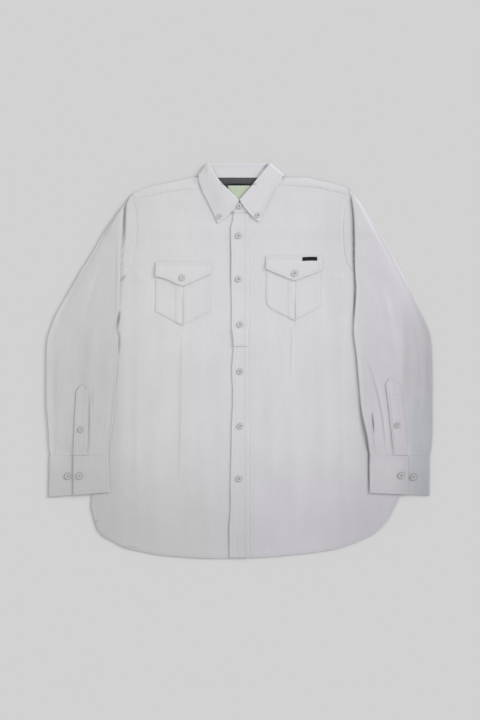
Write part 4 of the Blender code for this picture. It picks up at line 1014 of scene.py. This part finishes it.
def bend(places, radius=0.6):
    """A section through some points, each an array over the rows, with its corners rounded.

    A corner becomes three points: one before it, one after it, both at the radius or less, and
    their mean drawn to the corner by half. Long stretches get points at even steps.
    """
    def beside(here, other):
        length = np.linalg.norm(other - here, axis=1, keepdims=True)
        return here + unit(other - here) * np.minimum(radius, 0.45 * length)

    made = [places[0]]
    for i in range(1, len(places)):
        here, last = places[i], i == len(places) - 1
        enter = here if last else beside(here, places[i - 1])
        start = made[-1]
        count = int(np.linalg.norm(enter - start, axis=1).max() / STEP)
        made += [blend(start, enter, part) for part in np.linspace(0, 1, count + 2)[1:]]
        if not last:
            leave = beside(here, places[i + 1])
            made += [(enter + leave) / 4 + here / 2, leave]
    return made


def seam_line(side, face, ys):
    """Points of an armhole seam and, on the back, of the side seam, just clear of the body."""
    places = offset_line(np.stack([body_edge(side, ys, face), ys], 1), 0.12)
    return places[:, 0], places[:, 1]


def make_sleeve(side):
    """A flattened tube from the front armhole, tucked back, over the top and under to the back.

    Its top is as high as the plies under it and a fullness that falls to both edges, and the
    sleeve's creases are added to that.
    """
    chart = SLEEVE[side]
    top_y = chart["y"][0]
    ys = top_y - spread(top_y - SLEEVE_END_Y, 128)[0]
    outer, inner = read(chart, "outer", ys), read(chart, "inner", ys)
    start, end = TUCK_Y[side]
    tuck = np.clip((start - ys) / (start - end), 0, 1)
    high, kept = ys >= UNDERARM_Y, chart["y"] >= UNDERARM_Y
    valley = np.where(high, smooth(chart["y"][kept], chart["valley"][kept], ys),
                      side_seam(side, ys) + RISER_CLEAR)
    base = front_middle(ys)
    valley_z = np.where(high, base, base - WALL / 2)
    shoulder = outer - OUTER_FOLD_TOP
    inner = np.minimum(inner, shoulder - 1)
    fold_x = blend(np.minimum(inner + WALL / 2, shoulder), inner + WALL / 2, tuck)
    valley = np.where(tuck < 0.7, np.minimum(valley, fold_x - 0.4), valley)
    step = PLY * tuck
    edge_z = blend(base - SLEEVE_START_DROP, OUTER_EDGE_HEIGHT, tuck)
    seam_x, seam_y = seam_line(side, "front", np.maximum(ys, UNDERARM_Y))
    first = points(np.where(high, seam_x, valley), np.where(high, seam_y, ys),
                   np.where(high, front_middle(seam_y), valley_z))
    across = np.unique(np.concatenate([np.linspace(0, 1, 84), [0.006, 0.018, 0.97, 0.985, 0.995]]))
    full = smooth(SLEEVE_TOP["across"], SLEEVE_TOP["fullness"], across)
    calm_foot = rise(SLEEVE_END_Y + 1, SLEEVE_END_Y + 30, ys)
    crown = base + 2 * step + np.clip((shoulder - inner) / FULL_WIDTH, 0, 1) * FULLNESS * calm_foot
    x = blend(fold_x[:, None], shoulder[:, None], across)
    low = blend((base + 2 * step)[:, None], edge_z[:, None], rise(0.3, 0.9, across))
    z = blend(low, np.maximum(crown[:, None], low), full)
    relief = sleeve_relief(side, x, ys[:, None] + 0 * x)
    floor = -0.15 - 1.5 * rise(4, 16, x - valley[:, None]) * rise(0, 20, shoulder[:, None] - x)
    steady = rise(0, 0.06, across) * rise(0, 0.06, 1 - across) * rise(0, 26, shoulder - inner)[:, None]
    z = z + np.maximum(relief, floor) * steady
    z = z + seam_form((ys - SLEEVE_END_Y)[:, None] + 0 * x, x, 0.1, NEAR_ROW) * tuck[:, None]
    lap = CUFF[side]["lap"]
    under_lap = (1 - calm_foot)[:, None] * rise(lap - 4, lap + 8, x)
    z = blend(z, np.minimum(z, CUFF_LAP_HEIGHTS[0] + 0.1), under_lap)
    top = points(x, ys[:, None], z)
    near = bend([first, points(valley, ys, valley_z), points(valley, ys, base + step),
                 points(fold_x, ys, base + step), top[:, 0]], 0.5)
    back_x, back_y = seam_line(side, "back", ys)
    far = bend([top[:, -1], points(shoulder, ys, edge_z), points(outer - 0.5, ys, edge_z / 2 + 0.1),
                points(shoulder + 0.6, ys, 0.62), points(back_x, back_y, middle(0))], 0.8)
    grid = np.stack(near[:-1] + list(top.transpose(1, 0, 2)) + far[1:], 1) * (SIDES[side], 1, 1)
    cloth(side + "_sleeve", grid,
          face_at=(70, len(near) + 20))


def make_cuff(side):
    """A band from its hidden end under the lap, round both folded edges, to the lap's edge."""
    cut = CUFF[side]
    share = spread(CUFF_HEIGHT, 18)[0] / CUFF_HEIGHT
    inner = blend(cut["inner_top"], cut["inner_foot"], share) + WALL / 2
    outer = blend(cut["outer_top"], cut["outer_foot"], share) - WALL / 2
    y_near = blend(CUFF_TOP_Y, cut["foot_y_inner"], share)
    y_far = blend(CUFF_TOP_Y, cut["foot_y_outer"], share)
    riser = side_seam(side, (y_near + y_far) / 2) + WALL / 2 + 2 * GAP
    lower, upper = CUFF_LAP_HEIGHTS
    fold = inner + 0.8

    def at(x, z):
        x = x + 0 * share
        return points(x, blend(y_near, y_far, (x - inner) / (outer - inner)), z)

    columns = bend([
        at(cut["hidden"], lower), at(outer - 1.5, lower), at(outer, (lower + 0.6) / 2),
        at(outer - 1.2, 0.62), at(riser, middle(0) + 0.05), at(riser, middle(2)),
        at(fold, middle(2)), at(inner, (middle(2) + upper) / 2), at(fold, upper)])
    first = len(columns)
    lap = spread(cut["lap"] - fold, 16)[:, 1:]
    grid = np.stack(columns + [at(fold + along, upper) for along in lap.T], 1)
    form = seam_form(lap[:, -1:] - lap, y_near[:, None], 0.3, NEAR_ROW, FAR_ROW)
    ends = np.minimum(share, 1 - share)[:, None] * CUFF_HEIGHT
    form = form + seam_form(ends + 0 * lap, lap, 0.35, NEAR_ROW, FAR_ROW)
    bow = 0.5 * np.sin(math.pi * share)[:, None] * rise(0, 20, lap)
    grid[:, first:, 2] += form + bow + 0.2
    piece = cloth(side + "_cuff", grid * (SIDES[side], 1, 1),
                  face_at=(14, first + 10))
    for row in (NEAR_ROW, FAR_ROW):
        sew(piece, row=row, start=first + 2, end=-row)
        sew(piece, row=-1 - row, start=first + 2, end=-row)
        sew(piece, column=-1 - row, start=row, end=-row)


def make_sleeve_placket(side):
    """A strip with a pointed top over the sleeve's opening, stitched to it all round."""
    chart = SLEEVE_PLACKET[side]
    top_y = chart["y"][0]
    ys = top_y - spread(top_y - chart["y"][-1], 30)[0]
    inner, outer = straight(chart, "inner", ys)[:, None], straight(chart, "outer", ys)[:, None]
    across = spread(np.maximum(outer - inner, 25)[:, 0], 3)
    x = inner + across / across[:, -1:] * (outer - inner)
    y = ys[:, None] + 0 * x
    foot = rise(SLEEVE_END_Y + 30, SLEEVE_END_Y + 1, y)
    z = front_middle(y) + 3 * PLY + FULLNESS * (1 - foot) + 0.3 - 0.9 * foot
    z = z + np.maximum(sleeve_relief(side, x, y), -0.3) * 0.6
    z = z + seam_form(np.minimum(x - inner, outer - x), y, 0.2, NEAR_ROW)
    z = z + seam_form(top_y - y, x, 0.1, NEAR_ROW)
    name = side + "_sleeve_placket"
    piece = cloth(name, points(x * SIDES[side], y, z))
    for column in (NEAR_ROW, -1 - NEAR_ROW):
        sew(piece, column=column, start=NEAR_ROW)
    box = int(np.argmin(np.abs(ys - PLACKET_BOX_Y[side])))
    for row in (NEAR_ROW, box, box + 2):
        sew(piece, row=row, start=NEAR_ROW, end=-NEAR_ROW)


# Plackets, pockets, flaps and labels.

def make_placket(name, top_y, foot_y):
    """One strip of the front placket, between its free edge and the edge sewn down."""
    ys = top_y - spread(top_y - foot_y, int((top_y - foot_y) / 4))[0]
    free, sewn = -straight(PLACKET, "free", ys), straight(PLACKET, "sewn", ys)
    across = spread(sewn - free, 4)
    x = free[:, None] + across
    y = ys[:, None] + 0 * x
    lift = PLY * rise(66, 57, y) if name == "placket_upper" else 0
    z = front_middle(y) + PLY + body_relief(x, y) + lift + 0.1
    z = z + seam_form(np.minimum(across, across[:, -1:] - across), y, 0.35, FAR_ROW)
    z = z + seam_form(np.minimum(top_y - y, y - foot_y), x, 0.1, NEAR_ROW)
    piece = cloth(name, points(x, y, z))
    sew(piece, column=FAR_ROW)
    sew(piece, column=-1 - FAR_ROW)
    sew(piece, row=-1 - NEAR_ROW, start=3, end=-3)


def pleat_form(side, x):
    """The pocket's pleat: a low flat strip with a soft near edge and a sharp, dark far edge."""
    near, far = POCKET_PLEAT[side]
    strip = 0.55 * rise(near - 1.5, near + 2.0, x) * (1 - rise(far - 0.6, far + 0.6, x))
    return strip - 0.8 * np.exp(-((x - far - 0.2) / 0.8) ** 2)


def make_pocket(side):
    """A patch on the front between its mouth under the flap and its pointed foot."""
    chart = POCKET[side]
    x0, x1 = chart["x"][[0, -1]]
    pleat = [place + away for away in (-1.8, -0.8, 0.2, 1.2) for place in POCKET_PLEAT[side]]
    xs = np.unique(np.round(np.concatenate([x0 + spread(x1 - x0, 24)[0], pleat]), 2))
    top = np.interp(xs, chart["x"], chart["flap_top"]) - POCKET_MOUTH
    foot = np.interp(xs, chart["x"], chart["foot"])
    down = spread(top - foot, 22).T
    x, y = xs + 0 * down, top - down
    z = front_middle(y) + POCKET_LIFT + body_relief(x, y) + pleat_form(side, x)
    near = np.minimum(np.minimum(x - x0, x1 - x), y - foot)
    z = z + seam_form(near, x + y, 0.1, NEAR_ROW)
    piece = cloth(side + "_pocket", points(x, y, z),
                  wall=0.7)
    for place in (x0 + EDGE[NEAR_ROW], x1 - EDGE[NEAR_ROW]):
        sew(piece, column=int(np.argmin(np.abs(xs - place))), end=-NEAR_ROW)
    sew(piece, row=-1 - NEAR_ROW, start=NEAR_ROW, end=-NEAR_ROW)


def make_flap(side):
    """A flap sewn down above the pocket, up over its mouth and down to a point."""
    chart = POCKET[side]
    x0, x1 = chart["x"][[0, -1]]
    xs = x0 + spread(x1 - x0, 24)[0]
    top = np.interp(xs, chart["x"], chart["flap_top"])
    foot = np.interp(xs, chart["x"], chart["flap_foot"])
    down = spread(top - foot, 8).T
    x, y = xs + 0 * down, top - down
    z = front_middle(y) + PLY + 0.1 + body_relief(x, y)
    z = z + POCKET_LIFT * rise(9, 15, down) + 0.75 * rise(0, 1, down / (top - foot))
    near = np.minimum(np.minimum(x - x0, x1 - x), y - foot)
    z = z + seam_form(near, x + y, 0.3, NEAR_ROW, FAR_ROW) + seam_form(down, x, 0.2, NEAR_ROW, FAR_ROW)
    piece = cloth(side + "_flap", points(x, y, z))
    for row in (NEAR_ROW, FAR_ROW):
        for at in (dict(row=row), dict(row=-1 - row), dict(column=row), dict(column=-1 - row)):
            sew(piece, start=row, end=-row, **at)


def make_labels():
    """The bare label at the back of the neck, and the bare tab sewn into a flap's top seam.

    Each is a rectangle with shares u across and v down; a half wave of u lifts the first label's
    lower edge and bends the tab's upper one.
    """
    u, v = np.meshgrid(np.linspace(0, 1, 19), np.linspace(0, 1, 13))
    wave = np.sin(math.pi * u)
    left, top, width, height = NECK_LABEL
    x, y = left + width * u, top - height * v
    z = yoke_middle(y) + 2 * PLY + 0.35 + 0.5 * wave * v
    cloth("neck_label", points(x, y, z), finish="green_label")
    left, top, width, height = FLAP_LABEL
    x, y = left + width * u, top + 0.8 * u + 0.6 * wave - height * v
    z = height_on(GRIDS["left_flap"], x, y) + WALL / 2 + 0.35
    cloth("flap_label", points(x, y, z), finish="black_label", wall=0.6)


def height_on(grid, x, y):
    """Height of a piece's middle at some places: that of the nearest of its highest points."""
    flat = grid.reshape(-1, 3)
    away = np.hypot(flat[:, 0] - x[..., None], flat[:, 1] - y[..., None]) - 0.5 * flat[:, 2]
    return flat[np.argmin(away, axis=-1), 2]


# Buttons.

# How large a button is, how strong the painted shade of its rings and of its middle, by what carries it.
BUTTON_LOOKS = {"leaf": (0.84, 0.7, 0.7), "cuff": (1.12, 1.5, 2.2), "sleeve_placket": (0.9, 1.4, 1.6),
                "lower": (1, 1.4, 1.5), "stand": (1, 1.4, 1.5)}
# Its rings, from the middle of the dish over the rim to the back: radius, height and shade. The shade is
# painted shade round the holes, at the rim's groove and edge and on the back, with some of the rim's own
# grey.
RINGS = table(
    ("radius", "height", "shade"),
    (0, 1.6, 0.68), (0.7, 1.6, 0.7), (1.1, 1.6, 0.76), (1.5, 1.6, 0.86), (1.9, 1.6, 0.97), (2.6, 1.6, 1),
    (3.6, 1.62, 1), (4.3, 1.65, 0.98), (4.6, 1.5, 0.78), (4.9, 1.75, 0.84), (5.3, 1.9, 1),
    (5.6, 1.85, 0.85), (5.85, 1.5, 0.6), (5.85, 0.5, 0.5), (5.6, 0.2, 0.5), (5, 0, 0.5), (0, 0, 0.5))
DISH_RINGS = 8
MIDDLE_RADIUS = 2.2
HOLE_PLACE = 1.1
HOLE_RADIUS = 0.55
HOLE_DEPTH = 1.1
FEET_RADIUS = 5
CROSS_PLACE = 1.2
CROSS_HEIGHT = 1.95
CROSS_LENGTH = 3.3
CROSS_THREAD = 0.9


def make_button(number, x, y, carrier):
    """A four-hole button: a dished disc turned about its axis, with a cross of thread.

    Radius r and angle a give the form: the rim stands round a flat dish, and four dimples at
    the corners of a small square are drawn down by a bell of their distance. It lies on the
    plane that fits a ring of places on the cloth.
    """
    size, strength, core = BUTTON_LOOKS.get(carrier.split("_", 1)[-1], (1, 1, 1))
    # Painted shade of the rings, made stronger by the carrier's looks.
    shade = 1 - (1 - RINGS["shade"]) * np.where(RINGS["radius"] < MIDDLE_RADIUS, core, strength)
    angle = np.linspace(0, math.tau, 32, endpoint=False)
    px, py = (RINGS["radius"][:, None] * size * turned(angle) for turned in (np.cos, np.sin))
    hole = sum(np.exp(-(np.hypot(px - hx, py - hy) / HOLE_RADIUS) ** 2)
               for hy in (HOLE_PLACE, -HOLE_PLACE) for hx in (HOLE_PLACE, -HOLE_PLACE))
    z = RINGS["height"][:, None] - HOLE_DEPTH * hole * (np.arange(len(px)) < DISH_RINGS)[:, None]
    turns = np.linspace(0, math.tau, 16, endpoint=False)
    foot_x, foot_y = FEET_RADIUS * np.cos(turns), FEET_RADIUS * np.sin(turns)
    ring = height_on(GRIDS[carrier], x + foot_x, y + foot_y) + WALL / 2
    slope_x, slope_y = (2 * np.mean(ring * foot) / FEET_RADIUS ** 2 for foot in (foot_x, foot_y))
    base = np.max(ring - slope_x * foot_x - slope_y * foot_y) + 0.15
    places = points(px + x, py + y, z + base + slope_x * px + slope_y * py).reshape(-1, 3)
    index = np.arange(px.size).reshape(px.shape)
    after = np.roll(index, -1, axis=1)
    faces = np.stack([index[:-1], index[1:], after[1:], after[:-1]], -1).reshape(-1, 4)
    name = f"button_{number:02d}"
    # Painted shade: the rings' shade times three quarters of the cloth's painted light and shade at the
    # button's place; the leaf's buttons take none of it.
    fall = painted_shading(np.array(x), np.array(y)) if carrier != "collar_leaf" else 1
    mesh = make_mesh(name + "_disc", places, faces, np.repeat(shade, len(angle)) * (0.25 + 0.75 * fall))
    close(mesh)
    add_piece(name + "_disc", mesh, "button", [name])
    for turn in (1, -1):
        along = CROSS_PLACE * np.array([-1, 1])
        ends = points(along, along * turn, CROSS_HEIGHT + base + slope_x * along + slope_y * along * turn)
        CROSSES.append((ends.mean(0) + (x, y, 0), ends[1] - ends[0], (-slope_x, -slope_y, 1)))


def close(mesh):
    """Merge the points that a pole has in common."""
    work = bmesh.new()
    work.from_mesh(mesh)
    bmesh.ops.remove_doubles(work, verts=work.verts, dist=0.01 * MM)
    work.to_mesh(mesh)
    work.free()


def make_threads():
    """The cross of thread in every button."""
    place, direction, up = (np.array(part) for part in zip(*CROSSES))
    places, faces = grains(place, unit(direction), up, CROSS_LENGTH, CROSS_THREAD)
    add_piece("button_threads", make_mesh("button_threads", places, faces), "dark_thread")


# Finishes.

def connect(tree, node, inputs):
    """Inputs of a node: one given as a socket is linked, any other value is set."""
    for name, value in inputs.items():
        if isinstance(value, bpy.types.NodeSocket):
            tree.links.new(value, node.inputs[name])
        else:
            node.inputs[name].default_value = value


def add_node(tree, kind, inputs=(), out=0, **settings):
    """A new node with its settings and inputs; gives one of its outputs."""
    made = tree.nodes.new("ShaderNode" + kind)
    for name, value in settings.items():
        setattr(made, name, value)
    connect(tree, made, dict(inputs))
    return made.outputs[out]


def new_finish(name):
    """A new material with its node tree, its shader and the place on the object."""
    finish = bpy.data.materials.new(name)
    finish.use_nodes = True
    tree = finish.node_tree
    return finish, tree, tree.nodes["Principled BSDF"], add_node(tree, "TexCoord", out="Object")


# The middle part of a noise, which is stretched to the range that is wanted.
NOISE = {"From Min": 0.3, "From Max": 0.7}


def poplin(name, code, slub, sheen, with_painted_shading=True, tinted=True):
    """Cotton poplin, woven: matt, with thicker threads here and there that run down the cloth.

    The threads are 0.3 mm apart, too fine to show, so the grain is drawn at 1.1 mm; a slub is
    drawn about 4 mm wide and 35 mm long.
    """
    finish, tree, shader, place = new_finish(name)
    long = add_node(tree, "Mapping", {0: place, "Scale": (240, 28, 240)})
    streak = add_node(tree, "TexNoise", {0: long, "Scale": 1, "Detail": 3}, "Fac")
    grain = add_node(tree, "TexNoise", {0: place, "Scale": 900, "Detail": 2}, "Fac")
    wide = add_node(tree, "TexNoise", {0: place, "Scale": 14, "Detail": 2}, "Fac")
    light = add_node(tree, "MapRange", {0: streak, **NOISE, "To Min": 1 - slub, "To Max": 1 + slub})
    cloud = add_node(tree, "MapRange", {0: wide, **NOISE, "To Min": 0.98, "To Max": 1.015})
    shade = add_node(tree, "Math", {0: light, 1: cloud}, operation="MULTIPLY")
    # Painted light and shade from the mesh's attribute multiplies the colour.
    if with_painted_shading:
        fall = add_node(tree, "Attribute", out="Fac", attribute_name="painted_shading")
        shade = add_node(tree, "Math", {0: shade, 1: fall}, operation="MULTIPLY")
    base = linear(code)[:3]
    if tinted:
        hues = add_node(tree, "Attribute", out="Fac", attribute_name="cast")
        base = add_node(tree, "ValToRGB", {0: hues}, "Color")
        stops = base.node.color_ramp.elements
        for share, hue in ((0.02, "#D6D6D6"), (0.5, code), (0.72, "#DBD7DF"), (0.98, "#D4D7DD")):
            stops.new(share).color = linear(hue)
        stops.remove(stops[0])
        stops.remove(stops[-1])
    weave = add_node(tree, "Math", {0: grain, 1: streak}, operation="ADD")
    connect(tree, shader, {
        "Base Color": add_node(tree, "VectorMath", {0: base, 3: shade}, operation="SCALE"),
        "Normal": add_node(tree, "Bump", {"Strength": 0.35, "Distance": 0.0003, "Height": weave}),
        "Roughness": 0.88, "Specular IOR Level": 0.25, "Sheen Weight": sheen, "Sheen Roughness": 0.5})
    return finish


def moulded(name, code):
    """Polyester button, cast and polished: a soft gloss over a faintly clouded pale grey."""
    finish, tree, shader, place = new_finish(name)
    cloud = add_node(tree, "TexNoise", {0: place, "Scale": 300, "Detail": 3}, "Fac")
    light = add_node(tree, "MapRange", {0: cloud, **NOISE, "To Min": 0.94, "To Max": 1.05})
    # Painted shade of the rings and the cloth's painted light and shade, from the mesh, darken the
    # colour.
    rim = add_node(tree, "Attribute", out="Fac", attribute_name="painted_shading")
    light = add_node(tree, "Math", {0: light, 1: rim}, operation="MULTIPLY")
    colour = add_node(tree, "VectorMath", {0: linear(code)[:3], 3: light}, operation="SCALE")
    connect(tree, shader, {"Base Color": colour, "Roughness": 0.5, "IOR": 1.5})
    return finish


def board(name, code):
    """Painted board: matt, with a grain of 0.8 mm that is only just there."""
    finish, tree, shader, place = new_finish(name)
    grain = add_node(tree, "TexNoise", {0: place, "Scale": 1200}, "Fac")
    light = add_node(tree, "MapRange", {0: grain, "To Min": 0.995, "To Max": 1.005})
    colour = add_node(tree, "VectorMath", {0: linear(code)[:3], 3: light}, operation="SCALE")
    connect(tree, shader, {"Base Color": colour, "Roughness": 0.95, "Specular IOR Level": 0.1})
    return finish


FINISHES = {
    # Cotton poplin in light grey, pressed: matt, a touch lavender, faintly streaked.
    "cotton": poplin("cotton_poplin_light_grey", "#D8D7DB", 0.014, 0.06),
    # Cotton in charcoal for the inner yoke: matt and plain.
    "dark_cotton": poplin("cotton_poplin_charcoal", "#535355", 0.06, 0.05, tinted=False),
    # Woven satin label in pale sage: fine, even, a little silky.
    "green_label": poplin("woven_label_sage", "#C0CDB7", 0.03, 0.15, False, False),
    # Woven polyester tab in black.
    "black_label": poplin("woven_tab_black", "#1C1C1E", 0.03, 0.05, False, False),
    # Polyester buttons in pale grey.
    "button": moulded("cast_polyester_pale_grey", "#CCCBCE"),
    # Spun polyester sewing thread, slightly darker than the cloth.
    "thread": poplin("sewing_thread_grey", "#B9B8BE", 0.02, 0.1),
    # The thread that holds the buttons.
    "dark_thread": poplin("button_thread_grey", "#77767B", 0.02, 0.1),
    # Matt painted board under the shirt.
    "board": board("matt_board_pale_grey", "#D5D5D5"),
}


# The light and the camera, which looks straight down from 3.5 m.
AMBIENT = 0.763
KEY = 1.5
CAMERA_PLACE = (0.001, 0.0015, 3.485)


def make_stage():
    """The pale floor, a soft key light from the upper right, even light all round, and the camera."""
    reach = 3000 * np.array([(-1, -1, 0), (1, -1, 0), (1, 1, 0), (-1, 1, 0)], float)
    floor = add_object("floor", make_mesh("floor", reach, np.array([[0, 1, 2, 3]])))
    floor.data.materials.append(FINISHES["board"])
    scene = bpy.context.scene
    scene.view_settings.view_transform = "Standard"
    scene.world = bpy.data.worlds.new("studio")
    scene.world.use_nodes = True
    tree = scene.world.node_tree
    connect(tree, tree.nodes["Background"], {"Color": (1, 1, 1, 1), "Strength": AMBIENT})
    lamp = add_object("softbox", bpy.data.lights.new("softbox", "SUN"))
    lamp.data.angle = math.radians(24)
    lamp.data.energy = KEY
    lamp.location = (1.9, 1.0, 1.0)
    lamp.rotation_euler = lamp.location.to_track_quat("Z", "Y").to_euler()
    camera = add_object("camera", bpy.data.cameras.new("camera"))
    camera.data.sensor_fit = "VERTICAL"
    camera.data.sensor_height = 36
    camera.data.lens = 85
    camera.location = CAMERA_PLACE
    scene.camera = camera


make_stage()
make_back()
make_yoke()
make_lining()
for wearer_side in SIDES:
    for make_part in (make_front, make_sleeve, make_cuff, make_sleeve_placket, make_pocket, make_flap):
        make_part(wearer_side)
make_placket("placket_upper", 301.6, 30)
make_placket("placket_lower", 55, -403)
make_leaf()
make_stand()
make_labels()
for button_number, (button_x, button_y, button_carrier) in enumerate(BUTTONS, start=1):
    make_button(button_number, button_x, button_y, button_carrier)
make_stitches()
make_threads()
